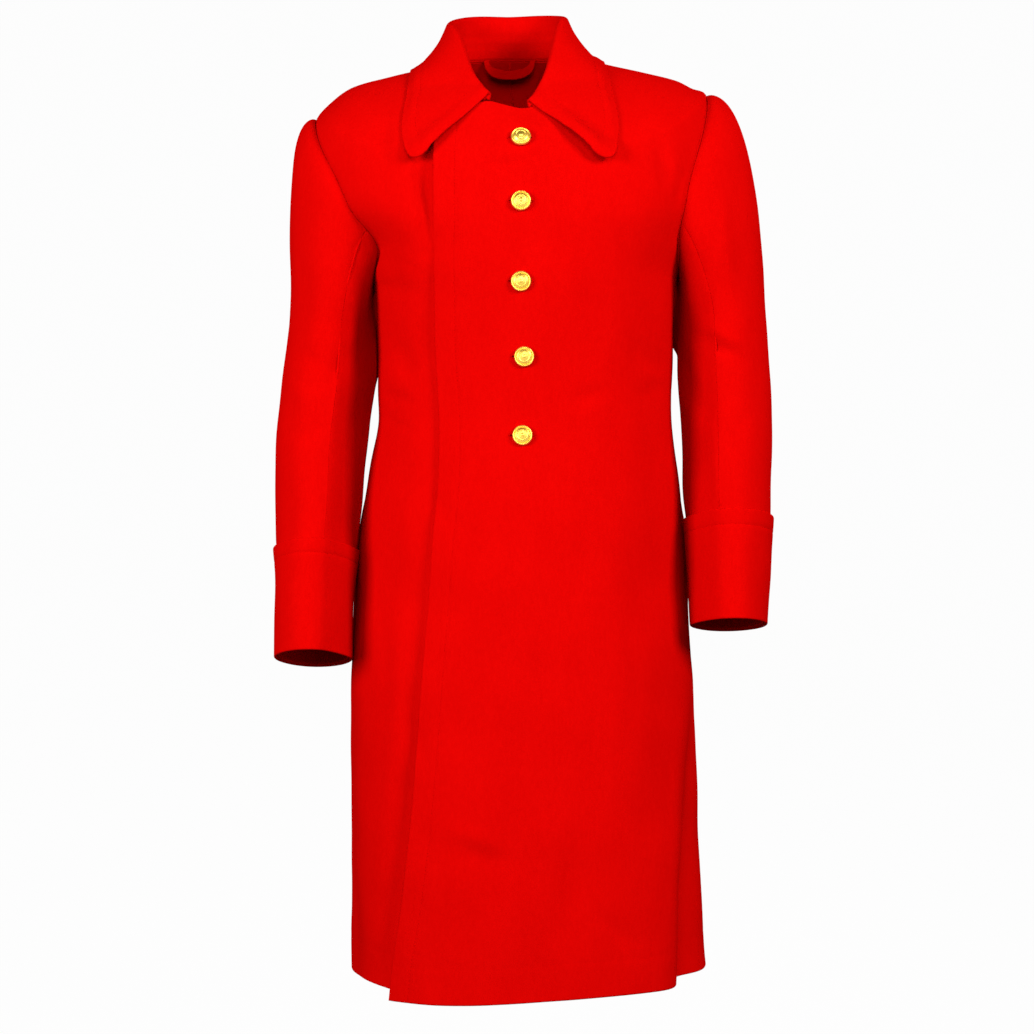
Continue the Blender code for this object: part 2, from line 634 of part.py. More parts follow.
def make_button(number, x, z):
    point, normal = place_on_lap(x, z)
    foot = -SHANK_FOOT - BUTTON_LIFT
    profile = [(r * BUTTON_RADIUS, h) for r, h in BUTTON_PROFILE]
    shank = profile[-1][0]
    profile += [(shank, foot), (0.0, foot)]
    mesh = bpy.data.meshes.new(f"button_{number}")
    mesh.from_pydata([(r, 0, h) for r, h in profile], [(i, i + 1) for i in range(len(profile) - 1)], [])
    button = put(f"button_{number}", mesh, wool("Button_brass", BRASS, 0.3, 1.0))
    turned = button.modifiers.new("Turned", "SCREW")
    turned.steps = turned.render_steps = BUTTON_STEPS
    turned.use_merge_vertices = True
    turned.merge_threshold = 0.0001
    button.location = point + normal * BUTTON_LIFT
    button.rotation_mode = "QUATERNION"
    button.rotation_quaternion = normal.to_track_quat("Z", "Y")
    return button


def cut_slit(lap, number, x, z):
    point, normal = place_on_lap(x, z)
    bpy.ops.mesh.primitive_cube_add(size=1)
    cutter = bpy.context.object
    cutter.name = f"slit_{number}"
    cutter.scale = (SLIT_LENGTH, SLIT_WIDTH, 4 * CLOTH)
    cutter.location = point - normal * CLOTH / 2 + Vector((SLIT_SHIFT, 0, 0))
    cutter.rotation_mode = "QUATERNION"
    cutter.rotation_quaternion = normal.to_track_quat("Z", "Y")
    cutter.hide_render = True
    cutter.display_type = "WIRE"
    for collection in list(cutter.users_collection):
        collection.objects.unlink(cutter)
    cutters.objects.link(cutter)
    cut = lap.modifiers.new(f"Slit_{number}", "BOOLEAN")
    cut.operation = "DIFFERENCE"
    cut.object = cutter


# Build
for old in list(bpy.data.objects):
    bpy.data.objects.remove(old)
coat = bpy.data.collections.new("Overcoat")
cutters = bpy.data.collections.new("Cutters")
bpy.context.scene.collection.children.link(coat)
bpy.context.scene.collection.children.link(cutters)

panels = {name: panel(name, *shape) for name, shape in PANELS.items()}
for which in ("left", "right"):
    make_sleeve(which)
    make_cuff(which)

make_collar()
make_hanger_loop()
for number, (x, z) in enumerate(BUTTON_PLACES, start=1):
    make_button(number, x, z)
    cut_slit(panels["front_left"], number, x, z)
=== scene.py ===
from math import pi, radians, sin, cos

import bpy
import numpy as np
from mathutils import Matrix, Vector
from mathutils.bvhtree import BVHTree


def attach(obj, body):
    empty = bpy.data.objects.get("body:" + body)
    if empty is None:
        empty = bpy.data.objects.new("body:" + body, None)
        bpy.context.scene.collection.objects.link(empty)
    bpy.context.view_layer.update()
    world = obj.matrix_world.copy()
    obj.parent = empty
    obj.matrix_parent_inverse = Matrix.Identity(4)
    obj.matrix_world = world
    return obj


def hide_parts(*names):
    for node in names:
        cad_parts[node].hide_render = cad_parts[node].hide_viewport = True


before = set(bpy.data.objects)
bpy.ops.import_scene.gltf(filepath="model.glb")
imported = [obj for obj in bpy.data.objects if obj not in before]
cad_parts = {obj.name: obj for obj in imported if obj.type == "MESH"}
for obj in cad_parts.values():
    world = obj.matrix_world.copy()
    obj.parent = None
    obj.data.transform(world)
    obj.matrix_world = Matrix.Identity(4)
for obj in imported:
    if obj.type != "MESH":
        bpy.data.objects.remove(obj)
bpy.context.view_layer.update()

# Camera: level, at the height of the coat's middle, straight in front.
camera = bpy.data.objects.new("Camera", bpy.data.cameras.new("Camera"))
bpy.context.scene.collection.objects.link(camera)
camera.location = (0, -2.6, -0.495)
camera.rotation_euler = (radians(90), 0, 0)
camera.data.lens = 77
camera.data.sensor_width = 36
bpy.context.scene.camera = camera

# Studio: a pale floor that curves up behind, a white surround and one wide soft light.
FLOOR_Z, BACKDROP_Y, COVE = -1.75, 3.2, 1.2
bpy.context.scene.view_settings.view_transform = "Standard"
world = bpy.data.worlds.new("Studio")
world.use_nodes = True
bpy.context.scene.world = world
world.node_tree.nodes["Background"].inputs["Color"].default_value = (1, 1, 1, 1)
world.node_tree.nodes["Background"].inputs["Strength"].default_value = 0.12

profile = [(-7.0, FLOOR_Z)]
for i in range(13):
    turn = pi / 2 * i / 12
    profile.append((BACKDROP_Y - COVE + COVE * sin(turn), FLOOR_Z + COVE - COVE * cos(turn)))
profile.append((BACKDROP_Y, 5.0))
verts = [(x, y, z) for y, z in profile for x in (-7, 7)]
faces = [(2 * i, 2 * i + 1, 2 * i + 3, 2 * i + 2) for i in range(len(profile) - 1)]
floor_mesh = bpy.data.meshes.new("Backdrop")
floor_mesh.from_pydata(verts, [], faces)
floor_mesh.shade_smooth()
floor = bpy.data.objects.new("Backdrop", floor_mesh)
floor.visible_diffuse = False
bpy.context.scene.collection.objects.link(floor)
paper = bpy.data.materials.new("Backdrop_paper")
paper.use_nodes = True
paper_shader = paper.node_tree.nodes["Principled BSDF"]
paper_shader.inputs["Base Color"].default_value = (0.02, 0.02, 0.02, 1)
paper_shader.inputs["Roughness"].default_value = 1.0
paper_shader.inputs["Specular IOR Level"].default_value = 0.0
paper_shader.inputs["Emission Color"].default_value = (1, 1, 1, 1)
paper_shader.inputs["Emission Strength"].default_value = 0.965
floor_mesh.materials.append(paper)

LIGHTS = (
    # name, place, aimed at, power, width
    ("Key", (0.0, -2.8, 0.65), (0, 0, -0.35), 46, 1.1),
    ("Side_left", (-2.2, -1.85, 0.15), (0, 0, -0.40), 92, 1.0),
    ("Side_right", (2.1, -1.85, 0.80), (0, 0, -0.35), 96, 0.9),
    ("Back", (0.3, 2.4, 0.7), (0, 0, -0.40), 70, 1.6),
)
for name, place, target, power, width in LIGHTS:
    light = bpy.data.lights.new(name, "AREA")
    light.energy = power
    light.size = width
    lamp = bpy.data.objects.new(name, light)
    lamp.visible_camera = False
    lamp.location = place
    lamp.rotation_euler = (Vector(target) - Vector(place)).to_track_quat("-Z", "Y").to_euler()
    bpy.context.scene.collection.objects.link(lamp)


# Back: two panels of fulled wool coating, sewn together down the middle and to the fronts at
# the sides and shoulders. It isn't seen, so it is plain, with the drape of a filled-out coat.
# The cloth's material and the body's form are here too, and the other pieces use them.
def wool_nap():
    """A group that gives the cloth's shade, 0 dark to 1 light, and its bumped normal."""
    group = bpy.data.node_groups.new("Wool_nap", "ShaderNodeTree")
    group.interface.new_socket("Shade", in_out="OUTPUT", socket_type="NodeSocketFloat")
    group.interface.new_socket("Normal", in_out="OUTPUT", socket_type="NodeSocketVector")
    nodes, links = group.nodes, group.links
    place = nodes.new("ShaderNodeTexCoord")
    drawn = nodes.new("ShaderNodeMapping")
    drawn.inputs["Scale"].default_value = (1.0, 1.0, 0.40)
    links.new(place.outputs["Object"], drawn.inputs["Vector"])
    noises = {}
    for name, scale, detail, source in (
        ("fuzz", 950, 3, place.outputs["Object"]),
        ("nap", 300, 4, drawn.outputs["Vector"]),
        ("cloud", 34, 4, drawn.outputs["Vector"]),
    ):
        noise = nodes.new("ShaderNodeTexNoise")
        noise.inputs["Scale"].default_value = scale
        noise.inputs["Detail"].default_value = detail
        noise.inputs["Roughness"].default_value = 0.62
        links.new(source, noise.inputs["Vector"])
        noises[name] = noise.outputs["Fac"]

    def maths(kind, first, second):
        node = nodes.new("ShaderNodeMath")
        node.operation = kind
        for socket, value in zip(node.inputs, (first, second)):
            if isinstance(value, (int, float)):
                socket.default_value = value
            else:
                links.new(value, socket)
        return node.outputs[0]

    height = maths("ADD", noises["fuzz"], maths("MULTIPLY", noises["nap"], 1.5))
    bump = nodes.new("ShaderNodeBump")
    bump.inputs["Strength"].default_value = 0.24
    bump.inputs["Distance"].default_value = 0.0006
    links.new(height, bump.inputs["Height"])
    shade = maths("ADD", maths("MULTIPLY", noises["cloud"], 0.4), maths("MULTIPLY", noises["nap"], 0.6))
    out = nodes.new("NodeGroupOutput")
    links.new(shade, out.inputs["Shade"])
    links.new(bump.outputs["Normal"], out.inputs["Normal"])
    return group


WOOL_DARK, WOOL_LIGHT = (0.425, 0.0005, 0.0003), (0.475, 0.0009, 0.0006)
wool = bpy.data.materials.new("Red_wool")
wool.use_nodes = True
tree = wool.node_tree
shader = tree.nodes["Principled BSDF"]
shader.inputs["Roughness"].default_value = 0.95
shader.inputs["Specular IOR Level"].default_value = 0.0
shader.inputs["Sheen Weight"].default_value = 0.03
shader.inputs["Sheen Roughness"].default_value = 0.6
shader.inputs["Sheen Tint"].default_value = (1.0, 0.008, 0.005, 1)
nap = tree.nodes.new("ShaderNodeGroup")
nap.node_tree = wool_nap()
ramp = tree.nodes.new("ShaderNodeValToRGB")
ramp.color_ramp.elements[0].position = 0.32
ramp.color_ramp.elements[0].color = (*WOOL_DARK, 1)
ramp.color_ramp.elements[1].position = 0.68
ramp.color_ramp.elements[1].color = (*WOOL_LIGHT, 1)
tree.links.new(nap.outputs["Shade"], ramp.inputs["Fac"])
tree.links.new(ramp.outputs["Color"], shader.inputs["Base Color"])
tree.links.new(nap.outputs["Normal"], shader.inputs["Normal"])

HEM, ARMPIT, SHOULDER_TIP, NECK = -1.02, -0.225, -0.03, 0.11
SHOULDER_ROUND = 1.4
BODY_COLUMNS = (
    "level", "z_right", "z_left", "z_front", "z_back",
    "x_right", "x_left", "x_middle", "y_front", "y_back", "front_square", "back_square",
)
BODY_SECTIONS = (
    (-1.02, -1.023, -1.016, -1.024, -1.020, -0.195, 0.2210, 0.013, -0.168, 0.176, 2.7, 2.3),
    (-0.90, -0.900, -0.900, -0.900, -0.900, -0.195, 0.2140, 0.010, -0.162, 0.170, 2.7, 2.3),
    (-0.78, -0.780, -0.780, -0.780, -0.780, -0.195, 0.2110, 0.008, -0.156, 0.163, 2.6, 2.3),
    (-0.66, -0.660, -0.660, -0.660, -0.660, -0.1945, 0.2060, 0.006, -0.150, 0.155, 2.6, 2.3),
    (-0.58, -0.580, -0.580, -0.580, -0.580, -0.1915, 0.2015, 0.006, -0.146, 0.149, 2.6, 2.3),
    (-0.52, -0.520, -0.520, -0.520, -0.520, -0.1865, 0.1980, 0.006, -0.142, 0.142, 2.6, 2.3),
    (-0.45, -0.450, -0.450, -0.450, -0.450, -0.174, 0.1900, 0.007, -0.136, 0.128, 2.5, 2.3),
    (-0.39, -0.390, -0.390, -0.390, -0.390, -0.163, 0.1820, 0.008, -0.132, 0.114, 2.5, 2.3),
    (-0.35, -0.350, -0.350, -0.350, -0.350, -0.163, 0.1800, 0.008, -0.131, 0.110, 2.5, 2.3),
    (-0.30, -0.300, -0.300, -0.300, -0.300, -0.1628, 0.1822, 0.007, -0.134, 0.116, 2.4, 2.3),
    (-0.225, -0.225, -0.218, -0.225, -0.225, -0.166, 0.1870, 0.005, -0.140, 0.128, 2.4, 2.3),
    (-0.18, -0.185, -0.172, -0.190, -0.180, -0.178, 0.2060, 0.003, -0.141, 0.132, 2.3, 2.3),
    (-0.13, -0.135, -0.118, -0.155, -0.130, -0.227, 0.2300, 0.001, -0.140, 0.132, 2.3, 2.3),
    (-0.08, -0.080, -0.060, -0.122, -0.084, -0.241, 0.2330, 0.000, -0.136, 0.128, 2.3, 2.3),
    (-0.03, -0.027, 0.001, -0.094, -0.042, -0.235, 0.2217, -0.001, -0.131, 0.119, 2.3, 2.3),
    (-0.01, -0.0035, 0.009, -0.084, -0.024, -0.2135, 0.2050, -0.002, -0.128, 0.114, 2.3, 2.3),
    (0.01, 0.0105, 0.018, -0.074, -0.008, -0.192, 0.1870, -0.003, -0.124, 0.108, 2.3, 2.3),
    (0.05, 0.0225, 0.0285, -0.057, 0.017, -0.149, 0.1446, -0.006, -0.116, 0.097, 2.3, 2.3),
    (0.08, 0.031, 0.037, -0.041, 0.035, -0.114, 0.1060, -0.008, -0.108, 0.086, 2.3, 2.3),
    (0.11, 0.040, 0.048, -0.026, 0.055, -0.082, 0.0640, -0.009, -0.100, 0.072, 2.3, 2.3),
)
SKIRT_FOLDS = (
    # at the hem, at its start, half width, depth, start level
    (50, 72, 7.0, 0.004, -0.60),
    (64, 87, 9.0, -0.026, -0.60),
    (118, 112, 13.0, 0.007, -0.55),
    (146, 142, 12.0, -0.008, -0.60),
    (180, 180, 14.0, 0.006, -0.55),
    (214, 218, 12.0, -0.008, -0.60),
    (242, 246, 12.0, 0.007, -0.55),
    (-72, -82, 11.0, -0.007, -0.60),
)
PRESSES = (
    # angle, height, half width, half height, depth: under the cuffs, and swells behind them
    (62, -0.56, 26, 0.080, 0.011),
    (-62, -0.57, 26, 0.080, 0.0085),
    (-108, -0.560, 13, 0.090, -0.011),
    (108, -0.545, 14, 0.060, -0.016),
)
NECK_DIP, NECK_DIP_ANGLE, NECK_DIP_WIDTH, NECK_DIP_START = 0.009, 14, 16, 0.04
ARMHOLE_FRONT, ARMHOLE_BACK = 0.088, 0.078


def smooth(rows, columns, at):
    """A table's columns at these values of its first one, on a smooth curve through its rows."""
    rows = np.array(rows, float)
    x = rows[:, 0]
    at = np.asarray(at, float)
    last = len(x) - 1
    i = np.clip(np.searchsorted(x, at, "right") - 1, 0, last - 1)
    before, after, beyond = np.maximum(i - 1, 0), i + 1, np.minimum(i + 2, last)
    span = x[after] - x[i]
    s = (at - x[i]) / span
    found = {}
    for k, column in enumerate(columns):
        c = rows[:, k]
        slope_a = (c[after] - c[before]) / (x[after] - x[before]) * span
        slope_b = (c[beyond] - c[i]) / (x[beyond] - x[i]) * span
        found[column] = (
            (2 * s**3 - 3 * s**2 + 1) * c[i] + (s**3 - 2 * s**2 + s) * slope_a
            + (3 * s**2 - 2 * s**3) * c[after] + (s**3 - s**2) * slope_b
        )
    return found


def ease(share):
    share = np.clip(share, 0, 1)
    return share * share * (3 - 2 * share)


def bell(off, width):
    return np.exp(-((off / width) ** 2))


def round_off(angle, middle):
    """How far an angle lies from another, from -180 to 180."""
    return (angle - middle + 180) % 360 - 180


def unit(vectors):
    return vectors / np.linalg.norm(vectors, axis=-1, keepdims=True)


def fold_depth(angle, level):
    depth = np.zeros(np.broadcast(angle, level).shape)
    for hem_angle, top_angle, width, height, start in SKIRT_FOLDS:
        share = np.clip((start - level) / (start - HEM), 0, 1.2)
        middle = top_angle + (hem_angle - top_angle) * np.minimum(share, 1) ** 0.7
        depth += height * ease(share) * bell(round_off(angle, middle), width)
    for middle, height, width, tall, press in PRESSES:
        depth -= press * bell(round_off(angle, middle), width) * bell(level - height, tall)
    return depth


def body(angle, level):
    """Points of the body's right side, by angle from the front (degrees) and level."""
    angle, level = np.broadcast_arrays(np.asarray(angle, float), np.asarray(level, float))
    s = smooth(BODY_SECTIONS, BODY_COLUMNS, level)
    way_x, way_y = np.sin(np.radians(angle)), -np.cos(np.radians(angle))
    front, left = way_y < 0, way_x >= 0
    square = np.where(front, s["front_square"], s["back_square"])
    width = np.where(left, s["x_left"] - s["x_middle"], s["x_middle"] - s["x_right"])
    depth = np.where(front, -s["y_front"], s["y_back"])
    radius = (np.abs(way_x / width) ** square + np.abs(way_y / depth) ** square) ** (-1 / square)
    share = np.minimum(1, np.abs(way_y) * radius / depth)
    z_side = np.where(left, s["z_left"], s["z_right"])
    z_middle = np.where(front, s["z_front"], s["z_back"])
    z = z_side + (z_middle - z_side) * share**SHOULDER_ROUND
    dip = ease((level - NECK_DIP_START) / (NECK - NECK_DIP_START))
    z = z - NECK_DIP * dip * bell(round_off(angle, NECK_DIP_ANGLE), NECK_DIP_WIDTH)
    radius = radius + fold_depth(angle, level)
    return np.stack([s["x_middle"] + way_x * radius, way_y * radius, z], axis=-1)


def ways_out(surface, across, along, step_across=0.4, step_along=8e-4):
    """The normals of a surface, from its points to each side."""
    u = surface(across + step_across, along) - surface(across - step_across, along)
    v = surface(across, along + step_along) - surface(across, along - step_along)
    return unit(np.cross(u, v))


def edge_angle(level, side, reach):
    """The angle of a panel's outer edge. Reach is how far the armhole bows, front below zero."""
    share = np.clip((level - ARMPIT) / (SHOULDER_TIP - ARMPIT), 0, 1)
    y = reach * np.sqrt(np.maximum(0, 1 - (2 * share - 1) ** 2))
    s = smooth(BODY_SECTIONS, BODY_COLUMNS, level)
    front = reach < 0
    square = s["front_square"] if front else s["back_square"]
    depth = -s["y_front"] if front else s["y_back"]
    width = s["x_left"] - s["x_middle"] if side > 0 else s["x_middle"] - s["x_right"]
    x = width * (1 - np.minimum(0.999, np.abs(y) / depth) ** square) ** (1 / square)
    return side * np.degrees(np.arctan2(x, -y))


def crease_relief(points, creases, facing=1.0):
    """How far soft troughs (below zero) and ridges stand off the cloth. Each one runs through
    its (x, z) places and fades towards its ends. Facing is how much the cloth faces that view."""
    relief = np.zeros(points.shape[:-1])
    flat = points[..., [0, 2]]
    for width, height, *places in creases:
        legs = np.diff(np.array(places), axis=0)
        lengths = np.linalg.norm(legs, axis=1)
        starts = np.concatenate([[0], np.cumsum(lengths)])
        nearest = np.full(relief.shape, np.inf)
        at = np.zeros(relief.shape)
        for place, leg, length, start in zip(np.array(places), legs, lengths, starts):
            share = np.clip(((flat - place) @ leg) / length**2, 0, 1)
            off = np.linalg.norm(flat - place - share[..., None] * leg, axis=-1)
            at = np.where(off < nearest, (start + share * length) / starts[-1], at)
            nearest = np.minimum(nearest, off)
        relief += height * bell(nearest, width) * np.sin(pi * np.clip(at, 0.03, 0.97)) ** 0.6
    return relief * np.clip(0.5 + 1.5 * facing, 0, 1)


RIPPLES = (
    # waves in a metre along x, y and z, start, height
    (5.1, 3.0, 2.2, 0.0, 0.00034), (-7.9, 4.1, 4.6, 1.3, 0.00030), (3.3, -6.2, 8.7, 2.9, 0.00030),
    (12.7, 7.3, -3.9, 4.2, 0.00022), (-10.3, 9.0, 7.7, 5.4, 0.00020), (17.1, -11.0, 9.6, 0.8, 0.00013),
    (2.1, 1.7, 14.3, 3.6, 0.00016), (21.0, 6.0, 3.1, 2.2, 0.00009),
)


def unevenness(points):
    """The slight waves of soft cloth over nothing, calmer round the neck."""
    relief = np.zeros(points.shape[:-1])
    for wave_x, wave_y, wave_z, start, height in RIPPLES:
        relief += height * np.sin(2 * pi * (points @ np.array([wave_x, wave_y, wave_z])) + start)
    return relief * (0.4 + 0.6 * ease((-0.04 - points[..., 2]) / 0.16))


CLOTH = 0.003
FREE_EDGE = (0, 0.00025, 0.0007, 0.0014, 0.0026, 0.0042)  # close steps round a free edge
SEWN_EDGE = (0, 0.0008, 0.0018, 0.0030, 0.0046)
SEAM_INSET = 0.0002


def spaced(length, size, start, end):
    """Distances from 0 to length: the given ones near each edge and even steps between them."""
    start, end = np.array(start), length - np.array(end)[::-1]
    count = max(2, round((end[0] - start[-1]) / size))
    return np.concatenate([start, np.linspace(start[-1], end[0], count + 1)[1:-1], end])


def run_along(points, axis):
    """Distances from the first edge of a grid of points, along its columns (0) or rows (1)."""
    steps = np.linalg.norm(np.diff(points, axis=axis), axis=-1)
    return np.insert(np.cumsum(steps, axis=axis), 0, 0, axis=axis)


def shell(name, points, normals, thickness=CLOTH, free=(), sewn={}, wrap=False):
    """Cloth as a closed wall: points are its right side, normals its ways out. Free edges are
    rounded, and sewn ones turn down into their seam by a depth, over a width of 3 mm."""
    rows, columns = points.shape[:2]
    along, across = run_along(points, 0), run_along(points, 1)
    to_edge = {
        "first_row": along,
        "last_row": along[-1] - along,
        "first_column": across,
        "last_column": across[:, -1:] - across,
    }
    half = thickness / 2
    lower = np.zeros((rows, columns))
    for edge in free:
        inside = half - np.minimum(to_edge[edge], half)
        lower = np.maximum(lower, half - np.sqrt(np.maximum(0, half**2 - inside**2)))
    lower = np.minimum(lower, half - 0.00004)
    turned = np.zeros((rows, columns))
    for edge, depth in sewn.items():
        turned = np.maximum(turned, depth * bell(to_edge[edge], 0.0036))
    outer = points - normals * (lower + turned)[..., None]
    inner = points - normals * (thickness - lower + turned * 0.3)[..., None]

    size = rows * columns
    steps = columns if wrap else columns - 1
    i, j = np.meshgrid(np.arange(rows - 1), np.arange(steps), indexing="ij")
    a, b = (i * columns + j).ravel(), (i * columns + (j + 1) % columns).ravel()
    quads = [np.stack([a, b, b + columns, a + columns], 1)]
    quads.append(np.stack([size + b, size + a, size + a + columns, size + b + columns], 1))
    a, b = np.arange(steps), (np.arange(steps) + 1) % columns
    quads.append(np.stack([b, a, size + a, size + b], 1))
    a, b = a + size - columns, b + size - columns
    quads.append(np.stack([a, b, size + b, size + a], 1))
    if not wrap:
        a = np.arange(rows - 1) * columns
        quads.append(np.stack([a, a + columns, size + a + columns, size + a], 1))
        b = a + columns - 1
        quads.append(np.stack([b + columns, b, size + b, size + b + columns], 1))
    verts = np.concatenate([outer.reshape(-1, 3), inner.reshape(-1, 3)])
    return add(name, verts, np.concatenate(quads))


def add(name, verts, faces, material=wool):
    mesh = bpy.data.meshes.new(name)
    mesh.from_pydata(np.asarray(verts).tolist(), [], np.asarray(faces).tolist())
    mesh.shade_smooth()
    mesh.materials.append(material)
    obj = bpy.data.objects.new(name, mesh)
    bpy.context.scene.collection.objects.link(obj)
    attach(obj, "root")
    return obj


def seam_allowances(name, seams, start=0.0011, radius=0.0015):
    """The cloth inside the seams: round strips a little way in from points on each seam."""
    verts, faces = [], []
    turns = pi * np.arange(8) / 4
    for points, ways in seams:
        ways = unit(ways)
        sideways = unit(np.cross(ways, np.gradient(points, axis=0)))
        spokes = ways[:, None] * np.cos(turns)[:, None] + sideways[:, None] * np.sin(turns)[:, None]
        first = len(verts)
        rings = (points + ways * (start + radius))[:, None] + spokes * radius
        verts.extend(rings.reshape(-1, 3).tolist())
        last = first + 8 * (len(points) - 1)
        for ring in range(first, last, 8):
            for k in range(8):
                a, b = ring + k, ring + (k + 1) % 8
                faces.append([a, a + 8, b + 8, b])
        faces.append([first + k for k in range(8)])
        faces.append([last + k for k in range(8)][::-1])
    mesh = bpy.data.meshes.new(name)
    mesh.from_pydata(verts, [], faces)
    mesh.shade_smooth()
    mesh.materials.append(wool)
    obj = bpy.data.objects.new(name, mesh)
    bpy.context.scene.collection.objects.link(obj)
    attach(obj, "root")
    return obj


HEM_TURN = 0.038  # the pressed line of the hem's turn-up
skirt_steps = [*FREE_EDGE, *np.arange(0.009, 0.036, 0.005), 0.0372, HEM_TURN, 0.0388]
skirt_levels = HEM + spaced(ARMPIT - HEM, 0.005, skirt_steps, (0, 0.003))
armhole_levels = ARMPIT + (SHOULDER_TIP - ARMPIT) * (1 - np.cos(pi * np.arange(4, 59) / 62)) / 2
shoulder_levels = SHOULDER_TIP + spaced(NECK + 0.0008 - SHOULDER_TIP, 0.0045, (0, 0.0006), SEWN_EDGE)
BODY_ROWS = np.concatenate([skirt_levels, armhole_levels, shoulder_levels])


def panel_angles(surface, start, end, width, near_start, near_end, size=0.0048):
    """Angles of a panel's columns: set distances from its edges, and even steps between them."""
    level = BODY_ROWS[:, None]
    angles = start[:, None] + (end - start)[:, None] * np.linspace(0, 1, 200)
    run = run_along(surface(angles, level), 1)
    count = round((width - near_start[-1] - near_end[-1]) / size)
    found = []
    for distances, row in zip(run, angles):
        middle = np.linspace(near_start[-1], distances[-1] - near_end[-1], count + 1)[1:-1]
        at = np.concatenate([near_start, middle, distances[-1] - np.array(near_end)[::-1]])
        found.append(np.interp(at, distances, row))
    return np.array(found)


def calm_edge(points, at_end, width=0.014):
    """From 0 at a panel's sewn outer edge to 1 inside it, so that two panels meet there."""
    across = run_along(points, 1)
    return ease((across[:, -1:] - across if at_end else across) / width)


def hem_line(level):
    return -0.00012 * bell(level - HEM - HEM_TURN, 0.0022)


BACK_CREASES = (
    # half width, height, places (x, z)
    (0.016, -0.0026, (-0.135, -0.125), (-0.100, -0.185), (-0.062, -0.255)),
    (0.018, -0.0028, (0.142, -0.115), (0.112, -0.190), (0.074, -0.275)),
    (0.012, 0.0012, (-0.150, -0.150), (-0.125, -0.215), (-0.098, -0.285)),
    (0.013, -0.0022, (-0.156, -0.230), (-0.140, -0.290), (-0.122, -0.345)),
    (0.014, -0.0020, (0.166, -0.225), (0.150, -0.290), (0.128, -0.352)),
    (0.012, -0.0020, (-0.070, -0.330), (-0.020, -0.346), (0.044, -0.350)),
    (0.010, -0.0017, (-0.128, -0.368), (-0.080, -0.384), (-0.014, -0.388)),
    (0.012, -0.0021, (0.030, -0.378), (0.080, -0.380), (0.136, -0.362)),
    (0.009, -0.0014, (-0.050, -0.412), (0.010, -0.420), (0.062, -0.414)),
    (0.010, -0.0013, (-0.055, 0.006), (0.002, -0.004), (0.056, 0.004)),
    (0.014, -0.0016, (-0.080, -0.520), (-0.088, -0.640), (-0.102, -0.780)),
    (0.015, 0.0015, (0.060, -0.560), (0.072, -0.700), (0.080, -0.830)),
    (0.012, -0.0012, (0.120, -0.600), (0.128, -0.720), (0.142, -0.850)),
)
side_levels = np.linspace(HEM + 0.003, ARMPIT, 90)
shoulder_line = np.linspace(SHOULDER_TIP, NECK - 0.001, 40)
middle_levels = np.linspace(HEM + 0.003, NECK - 0.001, 130)
seams = []
for angle, levels in (
    (90, side_levels), (-90, side_levels), (90, shoulder_line), (-90, shoulder_line), (180, middle_levels)
):
    angles = np.full(levels.shape, float(angle))
    seams.append((body(angles, levels), -ways_out(body, angles, levels)))
body_seams = seam_allowances("Body_seam_allowances", seams)

for which, side in (("left", 1), ("right", -1)):
    rim = edge_angle(BODY_ROWS, side, ARMHOLE_BACK)
    middle = np.full(rim.shape, 180.0)
    start, end = (rim, middle) if side > 0 else (middle, 360 + rim)
    near = np.array(SEWN_EDGE) + SEAM_INSET
    angle = panel_angles(body, start, end, 0.28, near, near)
    level = np.broadcast_to(BODY_ROWS[:, None], angle.shape)
    points, normals = body(angle, level), ways_out(body, angle, level)
    relief = crease_relief(points, BACK_CREASES, normals[..., 1]) + unevenness(points)
    relief = relief * calm_edge(points, side < 0) + hem_line(level)
    rim_edge, middle_edge = ("first_column", "last_column") if side > 0 else ("last_column", "first_column")
    piece = shell(
        f"Back_{which}", points + normals * relief[..., None], normals,
        free=["first_row"], sewn={rim_edge: 0.0010, middle_edge: 0.0009},
    )
    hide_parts(f"back_{which}")

# Right front: the wearer's right half, cut with a wide extension that lies under the lap. It is
# sewn to the back at the side and shoulder, and hangs a little behind the lap towards the hem.
LAP_EDGE_COLUMNS = ("level", "x")
LAP_EDGE = (
    (-1.02, -0.1440), (-0.98, -0.1395), (-0.92, -0.1300), (-0.85, -0.1216), (-0.767, -0.1138),
    (-0.676, -0.1075), (-0.62, -0.1043), (-0.546, -0.0990), (-0.506, -0.0950), (-0.462, -0.0895),
    (-0.409, -0.0875), (-0.365, -0.0892), (-0.309, -0.0924), (-0.253, -0.0935), (-0.12, -0.0946),
    (0.11, -0.0938),
)
UNDER_EDGE_TOP, UNDER_EDGE_HEM = 0.088, 0.105
LAP_GAP, UNDER_DROP_HEM, UNDER_BLEND = 0.0013, 0.010, 0.035
LAP_HEM_DROP = 0.011
UNDER_HEM = ((-64, 11, 0.004), (-36, 12, -0.008))
LAP_TOP_START, LAP_TOP_END, LAP_TOP_DROP = 10, 48, 0.075
